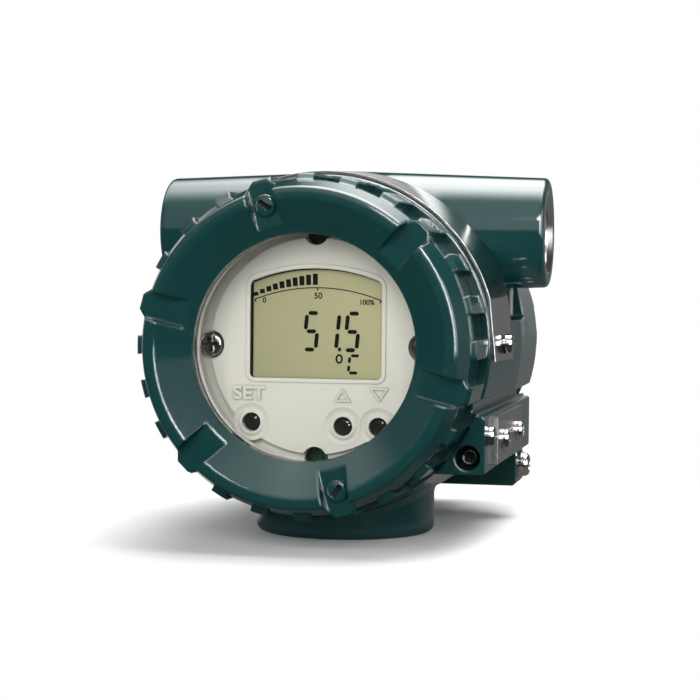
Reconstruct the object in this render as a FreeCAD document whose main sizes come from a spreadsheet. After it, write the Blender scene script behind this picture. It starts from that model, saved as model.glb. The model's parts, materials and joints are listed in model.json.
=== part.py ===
"""Field temperature transmitter: a two-compartment cast housing with a windowed screw cover.

Every piece is drawn about the barrel of the housing. In that frame Y runs along the barrel
from the window to the terminal side, Z is up, and the origin is where the barrel's axis
meets the plane of the two conduit hubs. The pieces are then placed so that the part's own
origin is the centre of the mounting foot's face.
"""
import FreeCAD, Part
import os
import re
import Sketcher

SIZES = {
    # Where the barrel stands over the mounting foot.
    "axis_height": 53.0,
    "hub_set_back": 13.4,
    # Cast barrel, largest at the conduit hubs, with a threaded neck at each end.
    "barrel_half_length": 45.6,
    "barrel_front_radius": 45.2,
    "barrel_middle_radius": 47.6,
    "barrel_rear_radius": 46.8,
    "barrel_edge": 0.8,
    "neck_radius": 39.2,
    "neck_length": 14.2,
    "chamber_radius": 36.4,
    "partition_front": 16.0,
    "partition_thickness": 4.5,
    # Conduit hubs, drafted towards their ends, with a threaded entry each.
    "hub_span": 110.0,
    "hub_rise": 31.2,
    "hub_end_radius": 15.4,
    "hub_root_radius": 17.4,
    "hub_edge": 1.4,
    "entry_radius": 9.6,
    "entry_length": 20.0,
    "entry_mouth_radius": 11.5,
    "entry_mouth_depth": 1.6,
    "passage_radius": 8.8,
    # Mounting foot with tapped holes for a bracket.
    "foot_radius": 25.0,
    "foot_edge": 2.2,
    "foot_root": 30.0,
    "foot_root_edge": 3.0,
    "bracket_circle": 36.0,
    "bracket_hole_radius": 2.5,
    "bracket_hole_depth": 11.0,
    # Side rail that carries the cover lock screws.
    "rail_half_length": 49.2,
    "rail_face": 44.3,
    "rail_top": 17.7,
    "rail_bottom": 33.0,
    "rail_root": 30.0,
    "rail_edge": 0.8,
    "rail_step_width": 1.8,
    "rail_step_height": 0.8,
    "rail_groove_root": 40.6,
    "rail_groove_height": 4.2,
    "rail_screw_front": 42.6,
    "rail_screw_drop": 23.2,
    "lock_across": 39.9,
    "lock_drop": 28.6,
    "lock_bore_radius": 3.3,
    "lock_bore_depth": 8.0,
    "lock_recess": 3.6,
    "lock_head_radius": 2.9,
    "lock_shank_radius": 2.0,
    "lock_shank_length": 9.0,
    # Lug under the rail for the outside earth terminal.
    "lug_front": 22.5,
    "lug_length": 16.5,
    "lug_face": 43.6,
    "lug_bottom": 43.0,
    "lug_root": 17.0,
    "lug_top": 31.0,
    "lug_chamfer": 0.8,
    "earth_drop": 37.3,
    "earth_washer_radius": 4.0,
    "earth_washer_thickness": 1.0,
    # Recess that the casting has in its flank under each hub.
    "flank_front": 15.0,
    "flank_length": 27.0,
    "flank_low": 6.6,
    "flank_high": 24.0,
    "flank_floor": 43.0,
    "flank_edge": 1.5,
    # Screw covers.
    "cover_depth": 28.0,
    "cover_gap": 0.6,
    "crest_radius": 37.8,
    "rim_radius": 40.6,
    "rim_edge": 1.3,
    "crest_edge": 0.5,
    "skirt_front": 6.9,
    "skirt_front_radius": 42.9,
    "skirt_rear_radius": 44.8,
    "tooth_front": 8.1,
    "tooth_front_radius": 44.5,
    "thread_clearance": 0.3,
    "neck_end_clearance": 0.8,
    "cover_clearance": 0.6,
    "notch_count": 24,
    "notch_width": 6.8,
    "notch_floor_radius": 42.3,
    "notch_start": 6.9,
    "channel_count": 6,
    "channel_turn": 45.0,
    "channel_width": 7.3,
    "channel_depth": 4.9,
    "channel_inner_radius": 30.5,
    "channel_lug_radius": 43.9,
    "channel_lug_length": 4.5,
    "channel_lug_corner": 1.7,
    "funnel_depth": 6.8,
    "window_radius": 29.1,
    "lip_thickness": 2.5,
    "blank_recess": 2.6,
    "blank_recess_radius": 33.0,
    "blank_thickness": 5.0,
    # Cover seals, each in a groove at the skirt's mouth.
    "seal_section_radius": 0.65,
    "seal_groove_width": 1.9,
    "seal_groove_depth": 1.4,
    "seal_groove_back": 2.4,
    "seal_clearance": 0.1,
    # Window pane, its gasket and the ring that holds it.
    "pane_radius": 33.0,
    "pane_thickness": 5.0,
    "pane_clearance": 0.3,
    "gasket_thickness": 0.8,
    "retainer_radius": 35.8,
    "retainer_thickness": 1.6,
    "retainer_opening": 29.6,
    # Slotted plugs in two of the cover's channels.
    "plug_circle_radius": 37.3,
    "plug_head_radius": 3.0,
    "plug_head_height": 1.4,
    "plug_shank_radius": 1.6,
    "plug_shank_length": 3.0,
    # Display unit.
    "display_setting": 51.7,
    "plateau_radius": 28.4,
    "plateau_height": 2.3,
    "bezel_radius": 33.5,
    "bezel_plate": 2.0,
    "bezel_skirt_length": 9.0,
    "bezel_wall": 1.2,
    "screen_half_width": 17.6,
    "screen_top": 20.3,
    "screen_shoulder": 16.7,
    "screen_bottom": 8.5,
    "screen_corner": 1.2,
    "panel_border": 1.0,
    "panel_thickness": 2.8,
    "panel_clearance": 0.1,
    "holder_thickness": 3.0,
    "board_thickness": 1.6,
    "board_clearance": 0.2,
    "sight_hole_radius": 3.2,
    "sight_hole_circle": 29.6,
    "button_hole_radius": 2.5,
    "button_boss_radius": 3.9,
    "button_dish_radius": 4.9,
    "button_dish_depth": 0.5,
    "button_clearance": 0.3,
    "button_sink": 0.9,
    "button_travel": 0.5,
    "button_play": 0.1,
    "button_collar": 0.6,
    "button_collar_thickness": 0.8,
    "switch_height": 1.6,
    "switch_half_width": 2.2,
    "set_across": 17.2,
    "set_drop": 20.3,
    "up_across": 7.5,
    "down_across": 16.9,
    "arrow_drop": 20.9,
    "fixing_circle": 28.6,
    "fixing_pocket_radius": 3.9,
    "fixing_head_radius": 3.5,
    "fixing_head_height": 2.2,
    "fixing_shank_radius": 1.9,
    "fixing_shank_length": 8.0,
    "pillar_radius": 2.9,
    # Amplifier behind the display.
    "amplifier_half_width": 22.0,
    "amplifier_half_height": 26.0,
    "amplifier_depth": 20.0,
    "amplifier_corner": 5.0,
    # Terminal side.
    "terminal_half_width": 27.0,
    "terminal_top": 10.0,
    "terminal_bottom": 22.0,
    "terminal_base": 12.0,
    "terminal_depth": 13.0,
    "terminal_pitch": 10.0,
    "terminal_slot_half_width": 3.9,
    "terminal_slot_depth": 5.0,
    "terminal_slot_length": 14.0,
    "terminal_boss_radius": 4.2,
    "terminal_boss_across": 21.0,
    "terminal_boss_drop": 16.5,
    "terminal_shank_length": 5.0,
    "block_shank_length": 22.0,
    "inner_earth_across": 13.0,
    "inner_earth_drop": 29.0,
    "inner_earth_height": 6.0,
    "feedthrough_radius": 6.0,
    "feedthrough_drop": 6.0,
    "feedthrough_reach": 3.5,
    # Stainless name band over the barrel.
    "band_front": 43.6,
    "band_width": 26.0,
    "band_thickness": 0.7,
    "band_stand_off": 0.3,
    "band_flat_clearance": 0.1,
    "band_flat_margin": 0.5,
    "band_flat_height": 3.0,
    "band_bend_angle": 16.0,
    "band_end_angle": -4.5,
    "band_screw_rise": 0.6,
    "band_screw_front": 28.0,
    "band_screw_seat": 0.35,
    # Cover plate on the rail.
    "plate_front": -33.0,
    "plate_length": 52.0,
    "plate_thickness": 1.3,
    "plate_top": 18.8,
    "plate_bottom": 31.6,
    "plate_screw_inset": 10.6,
    "plate_screw_drop": 25.4,
    # Small outside screws.
    "small_head_radius": 2.75,
    "small_head_height": 2.0,
    "small_shank_radius": 1.4,
    "small_shank_length": 6.0,
    "head_round": 0.8,
    "screw_clearance": 0.1,
    "screw_tip_clearance": 1.0,
}

NECK_END = "(barrel_half_length + neck_length)"
CREST = "(barrel_half_length + cover_gap + cover_depth)"
COVER_MOUTH = "(barrel_half_length + cover_gap)"
COVER_BORE = "(neck_radius + thread_clearance)"
COVER_SHOULDER = f"({NECK_END} + neck_end_clearance)"
LIP_BACK = f"({CREST} - funnel_depth - lip_thickness)"
PANE_FRONT = f"({LIP_BACK} - gasket_thickness)"
PANE_BACK = f"({PANE_FRONT} - pane_thickness)"
BEZEL_FLANGE = "(display_setting - plateau_height)"
FLANGE_BACK = f"({BEZEL_FLANGE} - bezel_plate)"
PANEL_FRONT = "(display_setting - bezel_plate)"
BOARD_FRONT = f"({PANEL_FRONT} - panel_thickness - holder_thickness)"
BOARD_BACK = f"({BOARD_FRONT} - board_thickness)"
PARTITION_BACK = "(partition_front - partition_thickness)"
TERMINAL_FACE = "(terminal_base + terminal_depth)"
FOOT_HOLE = "(bracket_circle / 2 * cos(45))"
LOCK_SEAT = "(rail_half_length - lock_bore_depth)"

doc = FreeCAD.newDocument("temperature_transmitter")
sheet = doc.addObject("Spreadsheet::Sheet", "sizes")
for row, (alias, value) in enumerate(SIZES.items(), 1):
    sheet.set(f"A{row}", alias)
    sheet.set(f"B{row}", str(value))
    sheet.setAlias(f"B{row}", alias)
doc.recompute()

finished = []


def formula(text):
    """A size expression with every alias pointed at the sheet."""
    return re.sub(r"[a-z_]+", lambda word: f"sizes.{word[0]}" if word[0] in SIZES else word[0], text)


def number(text):
    """The present value of a size expression."""
    return float(sheet.evalExpression(formula(text)))


def bind(thing, name, text):
    """Tie one property of an object to the sheet."""
    thing.setExpression(name, formula(text))


def new_body(label, keep=True):
    """An empty body that stands on the barrel's axis, in the plane of the hubs."""
    made = doc.addObject("PartDesign::Body", label)
    made.Label = label
    bind(made, "Placement.Base.y", "hub_set_back")
    bind(made, "Placement.Base.z", "axis_height")
    if keep:
        finished.append(made)
    return made


def new_sketch(owner, name, plane, height="0", turn=None):
    """A sketch on one origin plane of its body, lifted along the normal and turned in its plane."""
    drawn = owner.newObject("Sketcher::SketchObject", f"{owner.Name}_{name}")
    origin_plane = next(part for part in owner.Origin.OriginFeatures if part.Role == plane)
    drawn.AttachmentSupport = [(origin_plane, "")]
    drawn.MapMode = "FlatFace"
    if turn:
        drawn.AttachmentOffset = FreeCAD.Placement(
            FreeCAD.Vector(0, 0, 0), FreeCAD.Rotation(FreeCAD.Vector(0, 0, 1), number(turn)))
        bind(drawn, "AttachmentOffset.Rotation.Angle", turn)
    bind(drawn, "AttachmentOffset.Base.z", height)
    return drawn


def pin(drawn, geometry, point, across, along):
    """Hold one sketch point at a place given by two size expressions."""
    for kind, text in (("DistanceX", across), ("DistanceY", along)):
        index = drawn.addConstraint(Sketcher.Constraint(kind, -1, 1, geometry, point, number(text)))
        bind(drawn, f"Constraints[{index}]", text)


def draw_line(drawn, start, end, construction=False):
    """A straight line between two places."""
    spots = [FreeCAD.Vector(number(across), number(along), 0) for across, along in (start, end)]
    geometry = drawn.addGeometry(Part.LineSegment(*spots), construction)
    return geometry


def draw_axis(drawn, start, end):
    """A construction line that a revolved feature turns about."""
    geometry = draw_line(drawn, start, end, True)
    pin(drawn, geometry, 1, *start)
    pin(drawn, geometry, 2, *end)


def draw_polygon(drawn, corners):
    """A closed outline of straight lines through the corners."""
    lines = [draw_line(drawn, start, end) for start, end in zip(corners, corners[1:] + corners[:1])]
    for line, following in zip(lines, lines[1:] + lines[:1]):
        drawn.addConstraint(Sketcher.Constraint("Coincident", line, 2, following, 1))
    for line, corner in zip(lines, corners):
        pin(drawn, line, 1, *corner)


def draw_box(drawn, left, low, right, high):
    """A closed rectangle."""
    draw_polygon(drawn, [(left, low), (right, low), (right, high), (left, high)])


def draw_circle(drawn, across, along, radius):
    """A full circle."""
    centre = FreeCAD.Vector(number(across), number(along), 0)
    geometry = drawn.addGeometry(Part.Circle(centre, FreeCAD.Vector(0, 0, 1), number(radius)), False)
    pin(drawn, geometry, 3, across, along)
    index = drawn.addConstraint(Sketcher.Constraint("Radius", geometry, number(radius)))
    bind(drawn, f"Constraints[{index}]", radius)


def add_feature(owner, kind, drawn, length=None, reverse=False):
    """A pad or a pocket of one sketch."""
    made = owner.newObject(f"PartDesign::{kind}", f"{drawn.Name}_{kind}")
    made.Profile = drawn
    made.Reversed = reverse
    bind(made, "Length", length)
    return made


def pad(owner, drawn, length, reverse=False):
    """Material added from the sketch along its normal, or against it."""
    return add_feature(owner, "Pad", drawn, length, reverse)


def pocket(owner, drawn, length, reverse=False):
    """Material cut against the sketch's normal, or along it."""
    return add_feature(owner, "Pocket", drawn, length, reverse)


def turned(owner, kind, drawn, axis="H_Axis"):
    """A full Revolution or Groove of one sketch."""
    made = owner.newObject(f"PartDesign::{kind}", f"{drawn.Name}_{kind}")
    made.Profile = drawn
    made.ReferenceAxis = (drawn, [axis])
    made.Angle = 360
    return made


def polar(owner, drawn, feature, count):
    """Copies of a feature all round the barrel's axis."""
    made = owner.newObject("PartDesign::PolarPattern", f"{feature.Name}_pattern")
    made.Originals = [feature]
    made.Axis = (drawn, ["N_Axis"])
    made.Angle = 360
    bind(made, "Occurrences", count)
    owner.Tip = made
    return made


def soften(owner, kind, size, wanted):
    """A Fillet or Chamfer on the edges of the body's last feature that pass the test."""
    doc.recompute()
    base = owner.Tip
    names = [f"Edge{index}" for index, edge in enumerate(base.Shape.Edges, 1) if wanted(edge)]
    if not names:
        raise RuntimeError(f"no edge to soften on {owner.Label}")
    made = owner.newObject(f"PartDesign::{kind}", f"{base.Name}_{kind}")
    made.Base = (base, names)
    bind(made, "Radius" if kind == "Fillet" else "Size", size)
    return made


NEAR = 0.01


def same(value, text):
    """Whether a measured value agrees with a size expression."""
    return abs(value - number(text)) < NEAR


def places_on(edge):
    """Five places along an edge, from end to end."""
    reach = edge.LastParameter - edge.FirstParameter
    return [edge.valueAt(edge.FirstParameter + reach * step / 4) for step in range(5)]


def ring_edge(along, radius):
    """A test for the edges on one circle about the barrel's axis."""
    def wanted(edge):
        return all(same(spot.y, along) and same((spot.x ** 2 + spot.z ** 2) ** 0.5, radius)
                   for spot in places_on(edge))
    return wanted


def circle_edge(centre, radius):
    """A test for a full circle of one radius about one centre, given by size expressions."""
    def wanted(edge):
        if not isinstance(edge.Curve, Part.Circle):
            return False
        middle = FreeCAD.Vector(*[number(text) for text in centre])
        return edge.Curve.Center.distanceToPoint(middle) < NEAR and same(edge.Curve.Radius, radius)
    return wanted


def turned_piece(label, corners):
    """A piece that is one profile turned about the barrel's axis."""
    made = new_body(label)
    drawn = new_sketch(made, "profile", "YZ_Plane")
    draw_polygon(drawn, corners)
    turned(made, "Revolution", drawn)
    return made


FACING = {
    "front": FreeCAD.Rotation(FreeCAD.Vector(1, 0, 0), 90),
    "rear": FreeCAD.Rotation(FreeCAD.Vector(1, 0, 0), -90),
    "right": FreeCAD.Rotation(FreeCAD.Vector(0, 1, 0), 90),
    "left": FreeCAD.Rotation(FreeCAD.Vector(0, 1, 0), -90),
}


def placed(made, spot, facing):
    """Stand a body, drawn with its head up +Z, at a spot of the barrel's frame."""
    made.Placement = FreeCAD.Placement(FreeCAD.Vector(0, 0, 0), FACING[facing])
    for axis, text, start in zip("xyz", spot, ("0", "hub_set_back", "axis_height")):
        bind(made, f"Placement.Base.{axis}", f"{start} + {text}")


def screw(name, head_radius, head_height, shank_radius, shank_length, spot, facing, keep=False):
    """A round-headed screw seated at a spot, its thread a plain shank."""
    made = new_body(name, keep)
    drawn = new_sketch(made, "profile", "XZ_Plane")
    draw_polygon(drawn, [
        ("0", head_height),
        (f"{head_radius} - head_round", head_height),
        (head_radius, f"{head_height} - head_round"),
        (head_radius, "0"),
        (shank_radius, "0"),
        (shank_radius, f"-{shank_length}"),
        ("0", f"-{shank_length}"),
    ])
    turned(made, "Revolution", drawn, "V_Axis")
    placed(made, spot, facing)
    return made


def group(label, members):
    """Like pieces kept together under one name."""
    made = doc.addObject("Part::Compound", label)
    made.Label = label
    made.Links = members
    finished.append(made)
    return made


def drill(owner, name, plane, height, spots, radius, depth, reverse=False):
    """Round holes of one depth, sunk from one plane."""
    drawn = new_sketch(owner, name, plane, height)
    for across, along in spots:
        draw_circle(drawn, across, along, radius)
    return pocket(owner, drawn, depth, reverse)


# Housing: one aluminium casting with the barrel, both conduit hubs, the foot and the side rail.
housing = new_body("housing")

barrel = new_sketch(housing, "barrel", "YZ_Plane")
draw_polygon(barrel, [
    (f"-{NECK_END}", "0"),
    (f"-{NECK_END}", "neck_radius"),
    ("-barrel_half_length", "neck_radius"),
    ("-barrel_half_length", "barrel_front_radius"),
    ("0", "barrel_middle_radius"),
    ("barrel_half_length", "barrel_rear_radius"),
    ("barrel_half_length", "neck_radius"),
    (NECK_END, "neck_radius"),
    (NECK_END, "0"),
])
turned(housing, "Revolution", barrel)
soften(housing, "Fillet", "barrel_edge", lambda edge: (
    ring_edge("-barrel_half_length", "barrel_front_radius")(edge)
    or ring_edge("barrel_half_length", "barrel_rear_radius")(edge)))

FLANK_DEPTH = "barrel_middle_radius - flank_floor"
for side, face, away in (("right", "barrel_middle_radius", False), ("left", "-barrel_middle_radius", True)):
    flank = new_sketch(housing, f"flank_{side}", "YZ_Plane", face)
    draw_box(flank, "-flank_front", "flank_low", "flank_length - flank_front", "flank_high")
    pocket(housing, flank, FLANK_DEPTH, away)
FLANK_CORNERS = [("-flank_front", "flank_low"), ("flank_length - flank_front", "flank_low")]


def flank_corner(edge):
    """A test for the upright edges at the lower corners of the flank recesses."""
    return any(all(same(spot.y, along) and same(spot.z, rise) for spot in places_on(edge))
               for along, rise in FLANK_CORNERS)


soften(housing, "Fillet", "flank_edge", flank_corner)

HUB_END = "(hub_span / 2)"
hubs = new_sketch(housing, "hubs", "XZ_Plane")
draw_polygon(hubs, [
    (f"-{HUB_END}", "hub_rise"),
    (f"-{HUB_END}", "hub_rise + hub_end_radius"),
    ("0", "hub_rise + hub_root_radius"),
    (HUB_END, "hub_rise + hub_end_radius"),
    (HUB_END, "hub_rise"),
])
draw_axis(hubs, (f"-{HUB_END}", "hub_rise"), (HUB_END, "hub_rise"))
turned(housing, "Revolution", hubs, "Axis0")
soften(housing, "Fillet", "hub_edge", lambda edge: (
    circle_edge((HUB_END, "0", "hub_rise"), "hub_end_radius")(edge)
    or circle_edge((f"-{HUB_END}", "0", "hub_rise"), "hub_end_radius")(edge)))

foot = new_sketch(housing, "foot", "XY_Plane", "-axis_height")
draw_circle(foot, "0", "-hub_set_back", "foot_radius")
pad(housing, foot, "axis_height - foot_root")


def foot_root_edge(edge):
    """A test for the curve in which the foot's wall meets the barrel."""
    set_back = number("hub_set_back")
    return all(same((spot.x ** 2 + (spot.y + set_back) ** 2) ** 0.5, "foot_radius")
               and spot.z > number("-axis_height") + NEAR for spot in places_on(edge))


# The foot's two fillets share its wall under the barrel, so a low foot takes smaller ones.
FOOT_WALL = "(axis_height - barrel_middle_radius)"
FOOT_SHARE = f"min(1; {FOOT_WALL} / (foot_root_edge + foot_edge))"
soften(housing, "Fillet", f"foot_root_edge * {FOOT_SHARE}", foot_root_edge)
soften(housing, "Fillet", f"foot_edge * {FOOT_SHARE}",
       circle_edge(("0", "-hub_set_back", "-axis_height"), "foot_radius"))

rail_groove = new_sketch(housing, "rail_groove", "XZ_Plane", "rail_half_length")
draw_box(rail_groove, "rail_groove_root", "-rail_top",
         "barrel_middle_radius", "-rail_top + rail_groove_height")
pocket(housing, rail_groove, "2 * rail_half_length")
rail = new_sketch(housing, "rail", "XZ_Plane", "rail_half_length")
draw_polygon(rail, [
    ("rail_root", "-rail_bottom"),
    ("rail_face", "-rail_bottom"),
    ("rail_face", "-rail_top"),
    ("rail_face - rail_step_width", "-rail_top"),
    ("rail_face - rail_step_width", "-rail_top + rail_step_height"),
    ("rail_root", "-rail_top + rail_step_height"),
])
pad(housing, rail, "2 * rail_half_length", True)
soften(housing, "Fillet", "rail_edge", lambda edge: any(
    all(same(spot.x, "rail_face") and same(spot.z, level) for spot in places_on(edge))
    for level in ("-rail_top", "-rail_bottom")))

lug = new_sketch(housing, "lug", "XZ_Plane", "-lug_front")
draw_polygon(lug, [
    ("lug_root", "-lug_bottom"),
    ("lug_face - lug_chamfer", "-lug_bottom"),
    ("lug_face", "-lug_bottom + lug_chamfer"),
    ("lug_face", "-lug_top"),
    ("lug_root", "-lug_top"),
])
pad(housing, lug, "lug_length", True)

cover_room = new_sketch(housing, "cover_room", "YZ_Plane")
for side in ("-", ""):
    draw_box(cover_room, f"{side}barrel_half_length", "neck_radius",
             f"{side}(rail_half_length + cover_clearance)", "skirt_rear_radius + cover_clearance")
turned(housing, "Groove", cover_room)

chambers = new_sketch(housing, "chambers", "YZ_Plane")
draw_box(chambers, f"-{NECK_END}", "0", "-partition_front", "chamber_radius")
draw_box(chambers, f"-{PARTITION_BACK}", "0", NECK_END, "chamber_radius")
turned(housing, "Groove", chambers)

entries = new_sketch(housing, "entries", "XZ_Plane")
draw_polygon(entries, [
    (f"-{HUB_END}", "hub_rise"),
    (f"-{HUB_END}", "hub_rise + entry_mouth_radius"),
    (f"-{HUB_END} + entry_mouth_depth", "hub_rise + entry_radius"),
    (f"-{HUB_END} + entry_length", "hub_rise + entry_radius"),
    (f"-{HUB_END} + entry_length", "hub_rise + passage_radius"),
    (f"{HUB_END} - entry_length", "hub_rise + passage_radius"),
    (f"{HUB_END} - entry_length", "hub_rise + entry_radius"),
    (f"{HUB_END} - entry_mouth_depth", "hub_rise + entry_radius"),
    (HUB_END, "hub_rise + entry_mouth_radius"),
    (HUB_END, "hub_rise"),
])
draw_axis(entries, (f"-{HUB_END}", "hub_rise"), (HUB_END, "hub_rise"))
turned(housing, "Groove", entries, "Axis0")

posts = new_sketch(housing, "posts", "XZ_Plane", PARTITION_BACK)
for side in ("-", ""):
    draw_circle(posts, f"{side}terminal_boss_across", "-terminal_boss_drop", "terminal_boss_radius")
pad(housing, posts, f"terminal_base + {PARTITION_BACK}", True)
earth_post = new_sketch(housing, "earth_post", "XZ_Plane", PARTITION_BACK)
draw_circle(earth_post, "-inner_earth_across", "-inner_earth_drop", "terminal_boss_radius")
pad(housing, earth_post, f"inner_earth_height + {PARTITION_BACK}", True)

FOOT_HOLES = [(f"{across}{FOOT_HOLE}", f"-hub_set_back {along} {FOOT_HOLE}")
              for across in ("-", "") for along in ("-", "+")]
drill(housing, "bracket_holes", "XY_Plane", "-axis_height", FOOT_HOLES,
      "bracket_hole_radius", "bracket_hole_depth", True)

LOCK_SPOT = [("lock_across", "-lock_drop")]
for side, away in (("front", False), ("rear", True)):
    face = "rail_half_length" if side == "front" else "-rail_half_length"
    drill(housing, f"{side}_lock_bore", "XZ_Plane", face, LOCK_SPOT,
          "lock_bore_radius", "lock_bore_depth", away)
    drill(housing, f"{side}_lock_thread", "XZ_Plane", face, LOCK_SPOT, "lock_shank_radius + screw_clearance",
          "lock_bore_depth + lock_shank_length + screw_tip_clearance", away)

SMALL_HOLE = "small_shank_radius + screw_clearance"
SMALL_HOLE_DEPTH = "small_shank_length + screw_tip_clearance"
PLATE_SPOTS = [("plate_front + plate_screw_inset", "-plate_screw_drop"),
               ("plate_front + plate_length - plate_screw_inset", "-plate_screw_drop")]
RAIL_SPOT = ("-rail_screw_front", "-rail_screw_drop")
drill(housing, "plate_holes", "YZ_Plane", "rail_face", PLATE_SPOTS + [RAIL_SPOT], SMALL_HOLE, SMALL_HOLE_DEPTH)
drill(housing, "earth_hole", "YZ_Plane", "lug_face", [("lug_front + lug_length / 2", "-earth_drop")],
      "fixing_shank_radius + screw_clearance", "fixing_shank_length + screw_tip_clearance")
BAND_REAR = "(band_front - band_width)"


def barrel_radius(front):
    """Radius of the barrel's drafted front half at a distance in front of the hubs."""
    slope = "(barrel_middle_radius - barrel_front_radius) / barrel_half_length"
    return f"(barrel_middle_radius - {slope} * {front})"


def cut_band_flat(side, sign):
    """The flat on one flank of the barrel that an end of the name band lies on."""
    outlines = []
    for place, front in (("front", "(band_front + band_flat_margin)"),
                         ("rear", f"({BAND_REAR} - band_flat_margin)")):
        seat = f"({barrel_radius(front)} + band_stand_off - band_flat_clearance)"
        outline = new_sketch(housing, f"band_flat_{side}_{place}", "XZ_Plane", front)
        draw_polygon(outline, [
            (f"{sign}{radius} * cos({angle})", f"{radius} * sin({angle})")
            for radius, angle in ((seat, "band_bend_angle"), (f"({seat} + band_flat_height)", "band_bend_angle"),
                                  (f"({seat} + band_flat_height)", "band_end_angle"), (seat, "band_end_angle"))])
        outlines.append(outline)
    flat = housing.newObject("PartDesign::SubtractiveLoft", f"band_flat_{side}")
    flat.Profile = outlines[0]
    flat.Sections = [outlines[1]]
    flat.Ruled = True


cut_band_flat("right", "")
cut_band_flat("left", "-")
BAND_SPOT = [("-band_screw_front", "band_screw_rise")]
drill(housing, "band_hole_right", "YZ_Plane", "barrel_middle_radius", BAND_SPOT, SMALL_HOLE,
      f"{SMALL_HOLE_DEPTH} + small_head_height")
drill(housing, "band_hole_left", "YZ_Plane", "-barrel_middle_radius", BAND_SPOT, SMALL_HOLE,
      f"{SMALL_HOLE_DEPTH} + small_head_height", True)
POST_SPOTS = [(f"{side}terminal_boss_across", "-terminal_boss_drop") for side in ("-", "")]
drill(housing, "post_holes", "XZ_Plane", "-terminal_base", POST_SPOTS,
      "fixing_shank_radius + screw_clearance",
      "block_shank_length - terminal_depth + screw_tip_clearance", True)
drill(housing, "earth_post_hole", "XZ_Plane", "-inner_earth_height",
      [("-inner_earth_across", "-inner_earth_drop")], "fixing_shank_radius + screw_clearance",
      "fixing_shank_length + screw_tip_clearance", True)
drill(housing, "feedthrough_hole", "XZ_Plane", "partition_front", [("0", "-feedthrough_drop")],
      "feedthrough_radius + screw_clearance", "partition_thickness")


def cut_skirt(cover, mouth, reverse):
    """The grip notches round a cover's skirt, open towards the housing."""
    notch = new_sketch(cover, "notch", "XZ_Plane", mouth, "180 / notch_count")
    draw_box(notch, "notch_floor_radius", "-notch_width / 2",
             "skirt_rear_radius + cover_clearance", "notch_width / 2")
    cut = pocket(cover, notch, "cover_depth - notch_start", reverse)
    polar(cover, notch, cut, "notch_count")


def cut_channels(cover, crest, reverse):
    """Flat radial channels through a cover's crest, each ending in a lug on the skirt."""
    lug_sketch = new_sketch(cover, "channel_lug", "XZ_Plane", crest, "channel_turn")
    draw_polygon(lug_sketch, [
        ("crest_radius", "-channel_width / 2"),
        ("channel_lug_radius - channel_lug_corner", "-channel_width / 2"),
        ("channel_lug_radius", "-channel_width / 2 + channel_lug_corner"),
        ("channel_lug_radius", "channel_width / 2 - channel_lug_corner"),
        ("channel_lug_radius - channel_lug_corner", "channel_width / 2"),
        ("crest_radius", "channel_width / 2"),
    ])
    lug_pad = pad(cover, lug_sketch, "channel_depth + channel_lug_length", reverse)
    polar(cover, lug_sketch, lug_pad, "channel_count")
    channel = new_sketch(cover, "channel", "XZ_Plane", crest, "channel_turn")
    draw_box(channel, "channel_inner_radius", "-channel_width / 2",
             "channel_lug_radius + cover_clearance", "channel_width / 2")
    cut = pocket(cover, channel, "channel_depth", not reverse)
    polar(cover, channel, cut, "channel_count")


GROOVE_NEAR = f"({COVER_MOUTH} + seal_groove_back)"
GROOVE_FAR = f"({COVER_MOUTH} + seal_groove_back + seal_groove_width)"
GROOVE_FLOOR = f"({COVER_BORE} + seal_groove_depth)"


def skirt_corners(side):
    """Corners of a cover's section from the crest round the skirt to the shoulder inside."""
    return [
        (f"{side}{CREST}", "crest_radius"),
        (f"{side}{CREST}", "rim_radius"),
        (f"{side}({CREST} - skirt_front)", "skirt_front_radius"),
        (f"{side}({CREST} - tooth_front)", "tooth_front_radius"),
        (f"{side}{COVER_MOUTH}", "skirt_rear_radius"),
        (f"{side}{COVER_MOUTH}", COVER_BORE),
        (f"{side}{GROOVE_NEAR}", COVER_BORE),
        (f"{side}{GROOVE_NEAR}", GROOVE_FLOOR),
        (f"{side}{GROOVE_FAR}", GROOVE_FLOOR),
        (f"{side}{GROOVE_FAR}", COVER_BORE),
        (f"{side}{COVER_SHOULDER}", COVER_BORE),
    ]


def finish_crest(cover, side):
    """Rounded edges on both sides of a cover's crest."""
    soften(cover, "Fillet", "rim_edge", ring_edge(f"{side}{CREST}", "rim_radius"))
    soften(cover, "Fillet", "crest_edge", ring_edge(f"{side}{CREST}", "crest_radius"))


# Front cover: a cast ring whose face is a shallow funnel down to the window.
front_cover = turned_piece("front_cover", skirt_corners("-") + [
    (f"-{COVER_SHOULDER}", "pane_radius + pane_clearance"),
    (f"-{LIP_BACK}", "pane_radius + pane_clearance"),
    (f"-{LIP_BACK}", "window_radius"),
    (f"-({CREST} - funnel_depth)", "window_radius"),
])
finish_crest(front_cover, "-")
cut_skirt(front_cover, COVER_MOUTH, True)
cut_channels(front_cover, CREST, True)
PLUG_CHANNELS = (1, 4)
PLUG_ANGLES = [f"channel_turn + 360 / channel_count * {step}" for step in PLUG_CHANNELS]
PLUG_SPOTS = [(f"plug_circle_radius * cos({angle})", f"plug_circle_radius * sin({angle})")
              for angle in PLUG_ANGLES]
drill(front_cover, "plug_holes", "XZ_Plane", f"{CREST} - channel_depth", PLUG_SPOTS,
      "plug_shank_radius + screw_clearance", "plug_shank_length + screw_tip_clearance")

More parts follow.
